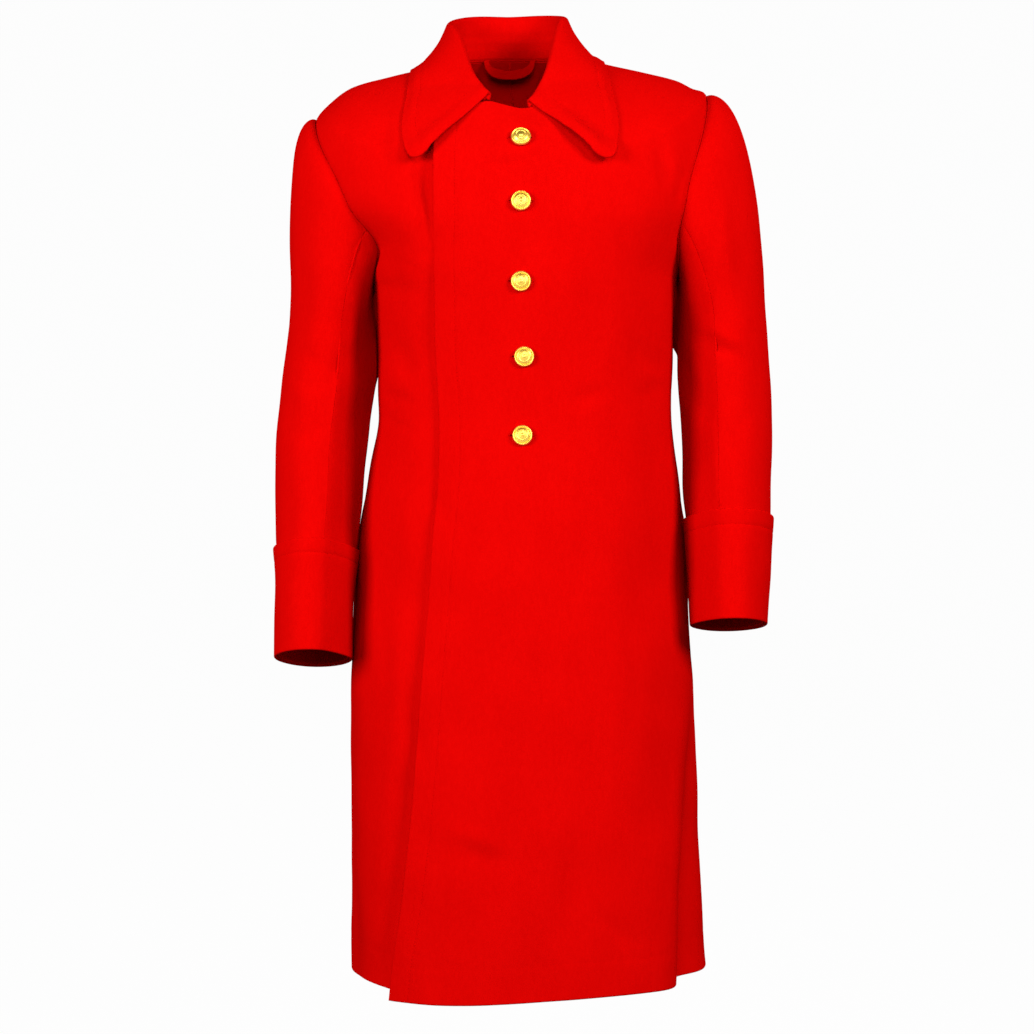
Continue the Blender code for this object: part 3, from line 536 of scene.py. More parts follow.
FRONT_CREASES = (
    # half width, height, places (x, z)
    (0.009, -0.0026, (-0.149, -0.040), (-0.152, -0.066), (-0.147, -0.094)),
    (0.008, -0.0019, (-0.115, -0.084), (-0.109, -0.118), (-0.101, -0.148)),
    (0.007, -0.0012, (-0.106, -0.095), (-0.101, -0.150), (-0.099, -0.215)),
    (0.010, -0.0020, (-0.134, -0.292), (-0.126, -0.318), (-0.117, -0.342)),
    (0.006, -0.0015, (-0.150, -0.352), (-0.136, -0.362), (-0.120, -0.364)),
    (0.010, 0.0012, (-0.150, -0.310), (-0.142, -0.336), (-0.130, -0.352)),
    (0.005, -0.0012, (-0.152, -0.378), (-0.136, -0.392), (-0.118, -0.396)),
    (0.009, -0.0020, (0.158, -0.076), (0.168, -0.100), (0.177, -0.128)),
    (0.007, -0.0017, (0.188, -0.098), (0.185, -0.122), (0.179, -0.150)),
    (0.010, 0.0012, (0.174, -0.070), (0.180, -0.098), (0.180, -0.130)),
    (0.006, -0.0014, (-0.042, -0.088), (-0.030, -0.099), (-0.014, -0.103), (0.004, -0.097)),
    (0.006, 0.0009, (-0.034, -0.076), (-0.018, -0.086), (-0.002, -0.088)),
    (0.003, -0.0006, (0.009, -0.262), (0.013, -0.282), (0.014, -0.300)),
    (0.010, -0.0014, (0.052, -0.366), (0.074, -0.362), (0.102, -0.352)),
    (0.012, -0.0016, (0.130, -0.298), (0.150, -0.318), (0.172, -0.326)),
    (0.010, -0.0015, (0.140, -0.360), (0.156, -0.350), (0.176, -0.346)),
    (0.009, -0.0010, (-0.094, -0.468), (-0.080, -0.492), (-0.062, -0.512)),
    (0.008, -0.0010, (-0.108, -0.728), (-0.106, -0.752), (-0.102, -0.778)),
    (0.010, 0.0012, (-0.076, -0.842), (-0.048, -0.850), (-0.018, -0.861)),
    (0.012, -0.0010, (-0.066, -0.862), (-0.036, -0.870), (-0.008, -0.880)),
    (0.014, -0.0014, (0.058, -0.838), (0.062, -0.890), (0.056, -0.944)),
    (0.007, -0.0012, (0.090, -0.930), (0.108, -0.952), (0.128, -0.972)),
    (0.012, -0.0012, (0.020, -0.560), (0.034, -0.620), (0.030, -0.690)),
    (0.013, 0.0012, (0.110, -0.600), (0.116, -0.680), (0.108, -0.760)),
    (0.008, -0.0011, (-0.150, -0.620), (-0.146, -0.700), (-0.152, -0.790)),
    (0.009, 0.0011, (-0.178, -0.660), (-0.176, -0.780), (-0.180, -0.900)),
    (0.005, 0.0013, (0.185, -0.700), (0.182, -0.760), (0.178, -0.830), (0.176, -0.910), (0.173, -0.990)),
)
UNDER_CREASES = (
    (0.012, -0.0048, (-0.114, -0.040), (-0.106, -0.090), (-0.100, -0.140), (-0.097, -0.195)),
    (0.034, 0.0080, (-0.085, -0.170), (-0.118, -0.188), (-0.132, -0.200), (-0.142, -0.235)),
)


def lap_drop(level):
    return LAP_TOP_DROP * ease((level - SHOULDER_TIP) / (NECK - SHOULDER_TIP))


def lowered(angle, level, side):
    past = (-side * angle - LAP_TOP_START) / (LAP_TOP_END - LAP_TOP_START)
    return level - lap_drop(level) * ease(past)


def angle_at_x(x, level):
    """The angle on the coat's front where the body has this x."""
    s = smooth(BODY_SECTIONS, BODY_COLUMNS, level)
    width = np.where(x >= s["x_middle"], s["x_left"] - s["x_middle"], s["x_middle"] - s["x_right"])
    share = np.minimum(0.999, np.abs(x - s["x_middle"]) / width)
    depth = -s["y_front"] * (1 - share ** s["front_square"]) ** (1 / s["front_square"])
    return np.degrees(np.arctan2(x - s["x_middle"], depth))


def front_relief(points, normals, level, calm=1.0):
    relief = 1.35 * crease_relief(points, FRONT_CREASES, -normals[..., 1]) + unevenness(points)
    return relief * calm + hem_line(level)


def right_front(angle, level):
    level = lowered(angle, level, -1)
    points, normals = body(angle, level), ways_out(body, angle, level)
    deep = ease((-0.4 - level) / (-0.4 - HEM))
    drop = CLOTH + LAP_GAP + (UNDER_DROP_HEM - CLOTH - LAP_GAP) * deep
    edge = smooth(LAP_EDGE, LAP_EDGE_COLUMNS, level)["x"]
    beside = ease((points[..., 0] - edge + UNDER_BLEND) / UNDER_BLEND)
    rise = sum(height * bell(angle - middle, width) for middle, width, height in UNDER_HEM)
    rise = rise * ease((-0.8 - level) / (-0.8 - HEM))
    points = points + np.array([0, 0, 1.0]) * rise[..., None]
    return points - normals * (drop * beside)[..., None]


low = (BODY_ROWS - NECK) / (HEM - NECK)
under_x = UNDER_EDGE_TOP + (UNDER_EDGE_HEM - UNDER_EDGE_TOP) * low
angle = panel_angles(
    right_front, edge_angle(BODY_ROWS, -1, -ARMHOLE_FRONT), angle_at_x(under_x, BODY_ROWS - lap_drop(BODY_ROWS)),
    0.35, np.array(SEWN_EDGE) + SEAM_INSET, FREE_EDGE,
)
level = np.broadcast_to(BODY_ROWS[:, None], angle.shape)
points, normals = right_front(angle, level), ways_out(right_front, angle, level)
calm = calm_edge(points, False)
relief = front_relief(points, normals, level, calm)
relief = relief + crease_relief(points, UNDER_CREASES, -normals[..., 1]) * calm
points = points + normals * relief[..., None]
front_right = shell(
    "Front_right", points, normals, free=["first_row", "last_column"], sewn={"first_column": 0.0012},
)
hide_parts("front_right")

# Left front: the outer lap, cut to pass the middle by 10 cm. Its facing is stitched down a line
# inside the free edge, and it has five worked buttonholes, each a slit with a purled rim.
FACING_LINE = 0.025
SLIT_LENGTH, SLIT_WIDTH, SLIT_SHIFT = 0.0262, 0.0013, -0.0008
PURL, PURL_WRAPS = 0.00075, 52
BUTTON_PLACES = ((0.0044, -0.070), (0.0044, -0.1435), (0.0044, -0.2325), (0.0080, -0.3159), (0.0061, -0.4038))


def left_front(angle, level):
    points = body(angle, lowered(angle, level, 1))
    past = ease((45 - angle) / 85) * ease((-0.5 - level) / (-0.5 - HEM))
    return points - np.array([0, 0, LAP_HEM_DROP]) * past[..., None]


def stitches(name, paths, step=0.0040, length=0.0027, radius=0.00026):
    """Thread stitches, half sunk in the cloth, along paths of points with the normals there."""
    verts, faces = [], []
    for points, normals in paths:
        run = np.insert(np.cumsum(np.linalg.norm(np.diff(points, axis=0), axis=1)), 0, 0)
        for at in np.arange(step, run[-1] - step, step):
            middle, before, after = (
                np.array([np.interp(at + d, run, points[:, k]) for k in range(3)])
                for d in (0, -length / 2, length / 2)
            )
            normal = unit(np.array([np.interp(at, run, normals[:, k]) for k in range(3)]))
            way = unit(after - before)
            beside = np.cross(way, normal)
            first = len(verts)
            for share, wide in ((-0.5, 0.15), (-0.35, 0.85), (0, 1.0), (0.35, 0.85), (0.5, 0.15)):
                lift = radius * (0.35 - 1.6 * share**2)
                for k in range(6):
                    a = pi * k / 3
                    spoke = (beside * cos(a) + normal * sin(a)) * radius * wide
                    verts.append(middle + way * share * length + normal * lift + spoke)
            for ring in range(4):
                for k in range(6):
                    a, b = first + ring * 6 + k, first + ring * 6 + (k + 1) % 6
                    faces.append((a, b, b + 6, a + 6))
    return add(name, verts, faces)


lap_x = smooth(LAP_EDGE, LAP_EDGE_COLUMNS, BODY_ROWS)["x"]
near_lap = [*FREE_EDGE, 0.008, 0.0125, 0.017, 0.021, 0.0236, 0.0243, FACING_LINE, 0.0257, 0.0264, 0.029]
angle = panel_angles(
    left_front, angle_at_x(lap_x, BODY_ROWS - lap_drop(BODY_ROWS)), edge_angle(BODY_ROWS, 1, -ARMHOLE_FRONT),
    0.38, near_lap, np.array(SEWN_EDGE) + SEAM_INSET,
)
level = np.broadcast_to(BODY_ROWS[:, None], angle.shape)
points, normals = left_front(angle, level), ways_out(left_front, angle, level)
pressed = -0.00035 * bell(run_along(points, 1) - FACING_LINE, 0.0014)
relief = front_relief(points, normals, level, calm_edge(points, True)) + pressed
points = points + normals * relief[..., None]
front_left = shell(
    "Front_left", points, normals, free=["first_row", "first_column"], sewn={"last_column": 0.0012},
)
facing_column = near_lap.index(FACING_LINE)
lap_stitches = stitches("Lap_stitches", [(points[3:-3, facing_column], normals[3:-3, facing_column])])


def on_lap(x, z):
    """The lap's point at this x and z, with its relief, and the normal there."""
    level = z
    for _ in range(30):
        angle = angle_at_x(x, np.array(level))
        level += (z - left_front(angle, np.array(level))[2]) * 0.8
    angle, level = angle_at_x(x, np.array(level)), np.array(level)
    point, normal = left_front(angle, level), ways_out(left_front, angle, level)
    return point + normal * front_relief(point, normal, level), normal


button_seats = [on_lap(x, z) for x, z in BUTTON_PLACES]
slit_verts, slit_faces, purl_verts, purl_faces = [], [], [], []
for point, normal in button_seats:
    across = unit(np.cross([0, 0, 1.0], normal)) * -1
    across = across if across[0] > 0 else -across
    up = np.cross(across, -normal)
    up = up if up[2] > 0 else -up
    middle = point + across * SLIT_SHIFT
    half = SLIT_LENGTH / 2 - SLIT_WIDTH / 2
    outline = []
    for end, start in ((1, -90), (-1, 90)):
        for k in range(13):
            a = radians(start + 15 * k)
            outline.append((end * half + cos(a) * 1.0, sin(a)))
    rim = [(x if abs(x) > 1 else x, y) for x, y in outline]
    first = len(slit_verts)
    ring = [
        middle + across * (np.sign(x) * half + (x - np.sign(x) * half) * SLIT_WIDTH / 2) + up * y * SLIT_WIDTH / 2
        for x, y in rim
    ]
    count = len(ring)
    for down in (0.003, -0.006):
        slit_verts.extend(p + normal * down for p in ring)
    slit_faces.append([first + k for k in range(count)])
    slit_faces.append([first + count + k for k in range(count)][::-1])
    for k in range(count):
        a, b = first + k, first + (k + 1) % count
        slit_faces.append([b, a, a + count, b + count])

    reach = SLIT_WIDTH / 2 + PURL * 0.8
    loop = 2 * pi * reach + 4 * half
    first = len(purl_verts)
    steps, around = PURL_WRAPS * 4, 8
    for i in range(steps):
        s = loop * i / steps
        if s < 2 * half:
            centre, out = middle + across * (half - s) + up * reach, up
        elif s < 2 * half + pi * reach:
            a = (s - 2 * half) / reach
            out = up * cos(a) - across * sin(a)
            centre = middle - across * half + out * reach
        elif s < 4 * half + pi * reach:
            centre, out = middle + across * (s - 3 * half - pi * reach) - up * reach, -up
        else:
            a = (s - 4 * half - pi * reach) / reach
            out = -up * cos(a) + across * sin(a)
            centre = middle + across * half + out * reach
        thick = PURL * (1 + 0.16 * sin(2 * pi * PURL_WRAPS * i / steps))
        for k in range(around):
            a = 2 * pi * k / around
            purl_verts.append(centre + normal * PURL * 0.25 + (out * cos(a) + normal * sin(a)) * thick)
    for i in range(steps):
        for k in range(around):
            a, b = first + i * around + k, first + i * around + (k + 1) % around
            c, d = first + (i + 1) % steps * around + k, first + (i + 1) % steps * around + (k + 1) % around
            purl_faces.append((a, c, d, b))
slit_mesh = bpy.data.meshes.new("Slits")
slit_mesh.from_pydata([list(v) for v in slit_verts], [], slit_faces)
slits = bpy.data.objects.new("Slits", slit_mesh)
bpy.context.scene.collection.objects.link(slits)
cut = front_left.modifiers.new("Slits", "BOOLEAN")
cut.operation = "DIFFERENCE"
cut.object = slits
cut_mesh = bpy.data.meshes.new_from_object(front_left.evaluated_get(bpy.context.evaluated_depsgraph_get()))
front_left.modifiers.clear()
front_left.data = cut_mesh
front_left.data.shade_smooth()
bpy.data.objects.remove(slits)
buttonholes = add("Buttonhole_purl", purl_verts, purl_faces)
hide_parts("front_left")

# Sleeves: each is a top sleeve and an under sleeve, seamed down the forearm and the hind arm and
# set into the armhole with a slightly full head. The seam down the forearm is pressed to a ridge.
SLEEVE_COLUMNS = ("z", "x_outer", "x_inner", "y_middle", "half_depth", "tilt")
SLEEVE_SECTIONS = {
    "right": (
        (-0.655, -0.2735, -0.1930, -0.067, 0.0660, 12.0),
        (-0.600, -0.2738, -0.1920, -0.056, 0.0670, 12.0),
        (-0.560, -0.2750, -0.1895, -0.048, 0.0680, 12.0),
        (-0.520, -0.2785, -0.1840, -0.040, 0.0690, 12.0),
        (-0.480, -0.2805, -0.1795, -0.031, 0.0710, 11.0),
        (-0.430, -0.2810, -0.1770, -0.021, 0.0740, 10.0),
        (-0.385, -0.2795, -0.1715, -0.012, 0.0770, 8.0),
        (-0.330, -0.2750, -0.1650, -0.004, 0.0790, 4.0),
        (-0.275, -0.2670, -0.1650, 0.000, 0.0800, 0.0),
    ),
    "left": (
        (-0.617, 0.2835, 0.2030, -0.061, 0.0660, 9.0),
        (-0.575, 0.2870, 0.2005, -0.053, 0.0670, 10.0),
        (-0.540, 0.2885, 0.1985, -0.046, 0.0680, 10.0),
        (-0.500, 0.2925, 0.1955, -0.039, 0.0690, 10.0),
        (-0.465, 0.2945, 0.1930, -0.031, 0.0715, 10.0),
        (-0.420, 0.2970, 0.1925, -0.021, 0.0740, 9.0),
        (-0.370, 0.2980, 0.1910, -0.011, 0.0770, 7.0),
        (-0.320, 0.2957, 0.1895, -0.004, 0.0790, 4.0),
        (-0.265, 0.2925, 0.1890, 0.000, 0.0800, 0.0),
    ),
}
CROWN_LIFT, CROWN_FULL, SLEEVE_GAP = 0.12, {"left": 0.68, "right": 0.56}, 0.0005
FOREARM_SEAM = 108
# Start, end and how far the under sleeve lies in behind the body's side, then how hard the
# inner side is pinched behind the forearm seam.
SLEEVE_TUCK = {"right": (-0.205, -0.350, 0.0075), "left": (-0.195, -0.312, 0.0150)}
SLEEVE_PINCH = {"right": (-0.225, -0.545, 1.5), "left": (-0.235, -0.51, 1.1)}
CUFF_PINCH = 0.45
SLEEVE_CREASES = {
    "right": {
        "front": (
            # half width, height, places (x, z)
            (0.0045, 0.0018, (-0.190, -0.250), (-0.193, -0.300), (-0.202, -0.334), (-0.207, -0.368),
             (-0.2095, -0.415), (-0.211, -0.474), (-0.213, -0.520)),
            (0.010, -0.0070, (-0.176, -0.190), (-0.178, -0.235), (-0.177, -0.290), (-0.184, -0.360),
             (-0.190, -0.430), (-0.194, -0.500), (-0.198, -0.540)),
            (0.007, -0.0020, (-0.186, -0.180), (-0.188, -0.205), (-0.192, -0.236)),
            (0.009, -0.0030, (-0.188, -0.296), (-0.200, -0.318), (-0.216, -0.346)),
            (0.012, -0.0020, (-0.252, -0.300), (-0.232, -0.318), (-0.208, -0.326)),
            (0.011, -0.0018, (-0.258, -0.400), (-0.240, -0.402), (-0.220, -0.388)),
            (0.010, 0.0014, (-0.262, -0.345), (-0.240, -0.360), (-0.216, -0.360)),
            (0.010, -0.0014, (-0.252, -0.180), (-0.244, -0.230), (-0.246, -0.280)),
            (0.012, -0.0014, (-0.262, -0.440), (-0.256, -0.480), (-0.260, -0.520)),
        ),
        "back": (
            (0.012, -0.0030, (-0.200, -0.200), (-0.212, -0.240), (-0.232, -0.272)),
            (0.010, -0.0032, (-0.190, -0.330), (-0.214, -0.346), (-0.252, -0.352)),
            (0.010, -0.0026, (-0.196, -0.372), (-0.222, -0.378), (-0.262, -0.370)),
            (0.011, 0.0016, (-0.200, -0.352), (-0.226, -0.363), (-0.256, -0.362)),
            (0.012, -0.0018, (-0.240, -0.420), (-0.232, -0.470), (-0.240, -0.520)),
        ),
    },
    "left": {
        "front": (
            (0.008, -0.0034, (0.200, -0.258), (0.208, -0.284), (0.226, -0.300), (0.248, -0.309), (0.268, -0.328)),
            (0.008, 0.0016, (0.214, -0.276), (0.236, -0.290), (0.262, -0.300)),
            (0.007, -0.0026, (0.194, -0.306), (0.203, -0.340), (0.220, -0.372)),
            (0.006, -0.0018, (0.190, -0.330), (0.204, -0.360), (0.222, -0.386)),
            (0.0045, 0.0017, (0.219, -0.366), (0.222, -0.400), (0.224, -0.440), (0.225, -0.486)),
            (0.007, -0.0020, (0.207, -0.398), (0.209, -0.425), (0.207, -0.456)),
            (0.011, -0.0016, (0.262, -0.372), (0.250, -0.398), (0.254, -0.430)),
            (0.011, -0.0014, (0.262, -0.170), (0.256, -0.210), (0.260, -0.250)),
            (0.010, 0.0013, (0.240, -0.120), (0.236, -0.170), (0.240, -0.220)),
        ),
        "back": (
            (0.012, -0.0028, (0.208, -0.196), (0.222, -0.236), (0.246, -0.268)),
            (0.010, -0.0032, (0.204, -0.318), (0.232, -0.336), (0.270, -0.340)),
            (0.010, -0.0025, (0.208, -0.362), (0.238, -0.366), (0.278, -0.356)),
            (0.012, -0.0018, (0.250, -0.400), (0.242, -0.450), (0.252, -0.500)),
        ),
    },
}


def armhole(side, turn):
    """Points of the armhole and the body's normals there, by degrees from the shoulder tip
    towards the front."""
    turn = turn % 360
    front = turn <= 180
    rows = 1 - np.where(front, turn, 360 - turn) / 180
    level = ARMPIT + (SHOULDER_TIP - ARMPIT) * (1 - np.cos(pi * rows)) / 2
    angle = np.where(
        front, edge_angle(level, side, -ARMHOLE_FRONT), edge_angle(level, side, ARMHOLE_BACK)
    )
    return body(angle, level), ways_out(body, angle, level)


def sleeve_ring(which, z, turn):
    s = smooth(SLEEVE_SECTIONS[which], SLEEVE_COLUMNS, z)
    half_width = (s["x_outer"] - s["x_inner"]) / 2
    tilt, a = np.radians(s["tilt"]), np.radians(turn)
    start, end, power = SLEEVE_PINCH[which]
    pinch = CUFF_PINCH + (1 - CUFF_PINCH) * ease((z - end) / 0.045)
    pinch = pinch * power * ease((start - z) / 0.09)
    ridge = np.sin(np.radians(FOREARM_SEAM))
    inner = (turn > FOREARM_SEAM) & (turn < 180)
    share = np.where(inner, np.clip(np.sin(a) / ridge, 1e-6, 1), 1)
    depth = s["half_depth"] * np.sin(a) * share**pinch
    x = (s["x_outer"] + s["x_inner"]) / 2 + half_width * np.cos(a)
    start, end, tuck = SLEEVE_TUCK[which]
    tuck = tuck * ease((start - z) / 0.03) * ease((z - end) / 0.03)
    tuck = tuck * ease((turn % 360 - 180) / 38) * ease((300 - turn % 360) / 82)
    x = x - np.sign(s["x_outer"]) * tuck
    return np.stack([x, s["y_middle"] - np.cos(tilt) * depth, z + np.sin(tilt) * depth], axis=-1)


def sleeve(which, turn, row):
    """Points of a sleeve: rows 0 to 1 are its head, from the armhole, and 1 to 2 the tube."""
    turn, row = np.broadcast_arrays(np.asarray(turn, float), np.asarray(row, float))
    side = 1 if which == "left" else -1
    end, top = SLEEVE_SECTIONS[which][0][0], SLEEVE_SECTIONS[which][-1][0]
    tube = sleeve_ring(which, top + (end - top) * (np.maximum(row, 1) - 1), turn)
    ring = sleeve_ring(which, np.full(turn.shape, top), turn)
    fall = (sleeve_ring(which, np.full(turn.shape, top - 0.01), turn) - ring) / 0.01
    start, normal = armhole(side, turn)
    high = ((1 + np.cos(np.radians(turn))) / 2)[..., None]
    low_way = np.stack(
        [np.full(turn.shape, 0.45 * side), -0.25 * np.sin(np.radians(turn)), np.full(turn.shape, -1.0)],
        axis=-1,
    )
    leave = unit(np.array([side, 0, CROWN_LIFT]) * high + low_way * (1 - high))
    start = start + unit(leave * high + normal * (1 - high)) * SLEEVE_GAP
    length = np.linalg.norm(ring - start, axis=-1, keepdims=True)
    s = np.minimum(row, 1)[..., None]
    head = (
        start * (2 * s**3 - 3 * s**2 + 1)
        + leave * CROWN_FULL[which] * length * (s**3 - 2 * s**2 + s)
        + ring * (3 * s**2 - 2 * s**3) + fall * 0.6 * length * (s**3 - s**2)
    )
    return np.where(row[..., None] < 1, head, tube)


def sleeve_relief(which, points, normals):
    creases = SLEEVE_CREASES[which]
    return (
        crease_relief(points, creases["front"], -normals[..., 1])
        + crease_relief(points, creases["back"], normals[..., 1]) + unevenness(points)
    )


for which, side in (("right", -1), ("left", 1)):
    end, top = SLEEVE_SECTIONS[which][0][0], SLEEVE_SECTIONS[which][-1][0]
    head_rows = spaced(0.26, 0.0048, SEWN_EDGE, (0, 0.004)) / 0.26
    tube_rows = 1 + spaced(top - end, 0.0048, (0, 0.004), FREE_EDGE)[1:] / (top - end)
    row = np.concatenate([head_rows, tube_rows])[:, None]

    def surface(across, along):
        return sleeve(which, across, along)

    turns = np.linspace(0, 360, 181)
    seam_points, seam_normals = armhole(side, turns)
    tangent = np.gradient(seam_points, axis=0)
    into_hole = unit(np.cross(tangent, seam_normals))
    into_hole *= np.sign(((seam_points.mean(axis=0) - seam_points) * into_hole).sum(axis=-1))[:, None]
    first_rows = np.zeros(turns.shape)
    beyond = unit(surface(turns, first_rows) - surface(turns, first_rows + 0.02))
    sleeve_ways = side * ways_out(surface, turns, first_rows + 0.01, 0.4, 0.003)
    set_in = [(seam_points, unit(into_hole + beyond - seam_normals - sleeve_ways))]
    seams = []
    for turn in (FOREARM_SEAM, -FOREARM_SEAM):
        rows = np.linspace(0.01, 1.985, 120)
        turns = np.full(rows.shape, float(turn))
        seams.append((surface(turns, rows), -side * ways_out(surface, turns, rows, 0.4, 0.003)))
    allowances = [
        seam_allowances(f"Armhole_seam_allowance_{which}", set_in, 0.0013, 0.0017),
        seam_allowances(f"Sleeve_seam_allowances_{which}", seams, 0.0006, 0.0014),
    ]

    for part, start_turn, end_turn, width in (
        ("top_sleeve", -FOREARM_SEAM, FOREARM_SEAM, 0.26),
        ("under_sleeve", FOREARM_SEAM, 360 - FOREARM_SEAM, 0.15),
    ):
        shares = spaced(width, 0.0045, SEWN_EDGE, SEWN_EDGE) / width
        turn = np.clip(start_turn + (end_turn - start_turn) * shares, start_turn + 0.2, end_turn - 0.2)
        turn = turn[:: 1 if side > 0 else -1][None, :]
        across, along = np.broadcast_arrays(turn, row)
        points = surface(across, along)
        normals = side * ways_out(surface, across, along, 0.4, 0.003)
        relief = sleeve_relief(which, points, normals) * ease(run_along(points, 0) / 0.014)
        points = points + normals * relief[..., None]
        piece = shell(
            f"{part.capitalize()}_{which}", points, normals, free=["last_row"],
            sewn={"first_row": 0.0012, "first_column": 0.0004, "last_column": 0.0004},
        )
        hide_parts(f"{part}_{which}")

# Cuffs: deep bands of the coating, turned back over the sleeve's end and stitched a finger's
# width below their top edge.
CUFF_CLOTH, CUFF_GAP, CUFF_BELOW = 0.0032, 0.0008, 0.002
CUFF_TOP = {"right": -0.533, "left": -0.497}
CUFF_STITCH = {"right": 0.016, "left": 0.018}
for which, side in (("right", -1), ("left", 1)):
    end, top = SLEEVE_SECTIONS[which][0][0], SLEEVE_SECTIONS[which][-1][0]
    first = 1 + (CUFF_TOP[which] - top) / (end - top)
    last = 2 - CUFF_BELOW / (end - top)
    length, line = (last - first) * (top - end), CUFF_STITCH[which]
    near_top = [*FREE_EDGE, 0.008, 0.0115, line - 0.0016, line - 0.0008, line, line + 0.0008, line + 0.0016]
    row = (first + spaced(length, 0.0035, near_top, FREE_EDGE) / (top - end))[:, None]
    turn = (np.arange(110) * 360 / 110)[:: 1 if side > 0 else -1][None, :]

    def surface(across, along):
        return sleeve(which, across, along)

    across, along = np.broadcast_arrays(turn, row)
    normals = side * ways_out(surface, across, along, 0.4, 0.003)
    points = surface(across, along)
    relief = unevenness(points) - 0.0006 * bell((along - first) * (top - end) - line, 0.0011)
    points = points + normals * (CUFF_GAP + CUFF_CLOTH + relief)[..., None]
    piece = shell(f"Cuff_{which}", points, normals, CUFF_CLOTH, free=["first_row", "last_row"], wrap=True)
    stitched = near_top.index(line)
    path = np.concatenate([points[stitched], points[stitched, :1]])
    path_normals = np.concatenate([normals[stitched], normals[stitched, :1]])
    cuff_stitches = stitches(f"Cuff_stitches_{which}", [(path, path_normals)])
    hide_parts(f"cuff_{which}")

# Collar: a stand and a fall in one wall, top collar and under collar together. It is sewn to the
# neck seam, turns at the roll and is stitched 2 cm inside its outer edge.
COLLAR_CLOTH = 0.004
COLLAR_COLUMNS = ("angle", "rise", "lean", "way", "reach", "drop", "bulge")
COLLAR_STATIONS = (
    (13.0, 0.0065, -0.003, 76, 0.0870, 0.080, 0.003),
    (24.5, 0.0145, -0.007, 72, 0.0890, 0.070, 0.003),
    (50.0, 0.0300, -0.013, 70, 0.0690, 0.054, 0.000),
    (90.0, 0.0390, -0.006, 79, 0.0485, 0.056, -0.004),
    (121.0, 0.0465, 0.000, 107, 0.0380, 0.066, -0.004),
    (148.0, 0.0500, 0.004, 143, 0.0280, 0.075, 0.001),
    (180.0, 0.0500, 0.008, 180, 0.0200, 0.078, 0.003),
)
COLLAR_START, ROLL_RADIUS, ROLL_END, COLLAR_CLEARANCE = 0.0012, 0.0042, 0.47, 0.0016
LEAF_LIFT = {"right": 0.0060, "left": 0.0100}  # how far the front edge of each leaf stands off
FALL_SAG, SAG_START, SAG_END = 0.009, 60, 15
RIGHT_LEAF_DROP, RIGHT_LEAF_CLOSE = 0.006, 0.0045
TIP_ROUND, COLLAR_SWAY = 0.022, 0.0025
COLLAR_LINE = 0.020


def heading(angle):
    a = np.radians(angle)
    return np.stack([np.sin(a), -np.cos(a), np.zeros(np.shape(angle))], axis=-1)


def collar(share, part):
    """Points of the collar's middle. Share runs from -1 to 1 round the neck. Part is -1 to 0 up
    the stand, 0 to 1 over the roll, and 1 to 2 down the fall."""
    share, part = np.broadcast_arrays(np.asarray(share, float), np.asarray(part, float))
    side = np.where(share < 0, -1.0, 1.0)
    w = np.clip(part - 1, 0, 1)
    back_off = 1 - TIP_ROUND * np.maximum(0, (w - 0.5) / 0.5) ** 8
    angle = 180 - (180 - COLLAR_STATIONS[0][0]) * np.abs(share) * back_off
    s = smooth(COLLAR_STATIONS, COLLAR_COLUMNS, angle)
    up = np.array([0, 0, 1.0])
    out, way = heading(side * angle), heading(side * s["way"])
    seam = body(side * angle, np.full(angle.shape, NECK)) - out * (COLLAR_CLOTH / 2)
    roll = seam + up * s["rise"][..., None] + out * s["lean"][..., None]
    roll[..., 0] -= COLLAR_SWAY * ease((angle - 40) / 60)
    foot = seam + up * COLLAR_START
    leaf = ease((SAG_START - angle) / (SAG_START - SAG_END))
    right = np.where(share < 0, leaf, 0)
    reach, drop = s["reach"] - RIGHT_LEAF_CLOSE * right, s["drop"] + RIGHT_LEAF_DROP * right
    edge = roll + way * reach[..., None] - up * drop[..., None]
    swell = unit(up + way) * s["bulge"][..., None] - up * (FALL_SAG * leaf)[..., None]
    radius = (ROLL_RADIUS * (1 - ROLL_END * ease((27 - angle) / 13)))[..., None]
    leave = edge - roll + swell * pi
    dip = np.arctan2(-leave[..., 2], (leave * way).sum(axis=-1))
    a = (pi / 2 + np.where(part < 0.5, pi, 2 * dip) * (np.clip(part, 0, 1) - 0.5))[..., None]
    turned = roll + np.where(a < pi / 2, -out, way) * np.abs(np.cos(a)) * radius
    turned = turned + up * (np.sin(a) - 0.25) * radius
    stand = foot + (turned - foot) * np.clip(part + 1, 0, 1)[..., None]
    end = (pi / 2 + dip)[..., None]
    last = roll + way * np.abs(np.cos(end)) * radius + up * (np.sin(end) - 0.25) * radius
    fall = last + (edge - last) * w[..., None] + swell * np.sin(pi * w)[..., None]
    part = part[..., None]
    return np.where(part < 0, stand, np.where(part <= 1, turned, fall))


around = np.arange(0, 361, 3)
levels = np.linspace(NECK - 0.28, NECK, 40)
under = body(around[None, :], levels[:, None]).reshape(-1, 3)
under_faces = []
for i in range(len(levels) - 1):
    for j in range(len(around) - 1):
        a = i * len(around) + j
        under_faces.append((a, a + 1, a + 1 + len(around), a + len(around)))
under_tree = BVHTree.FromPolygons(under.tolist(), under_faces)

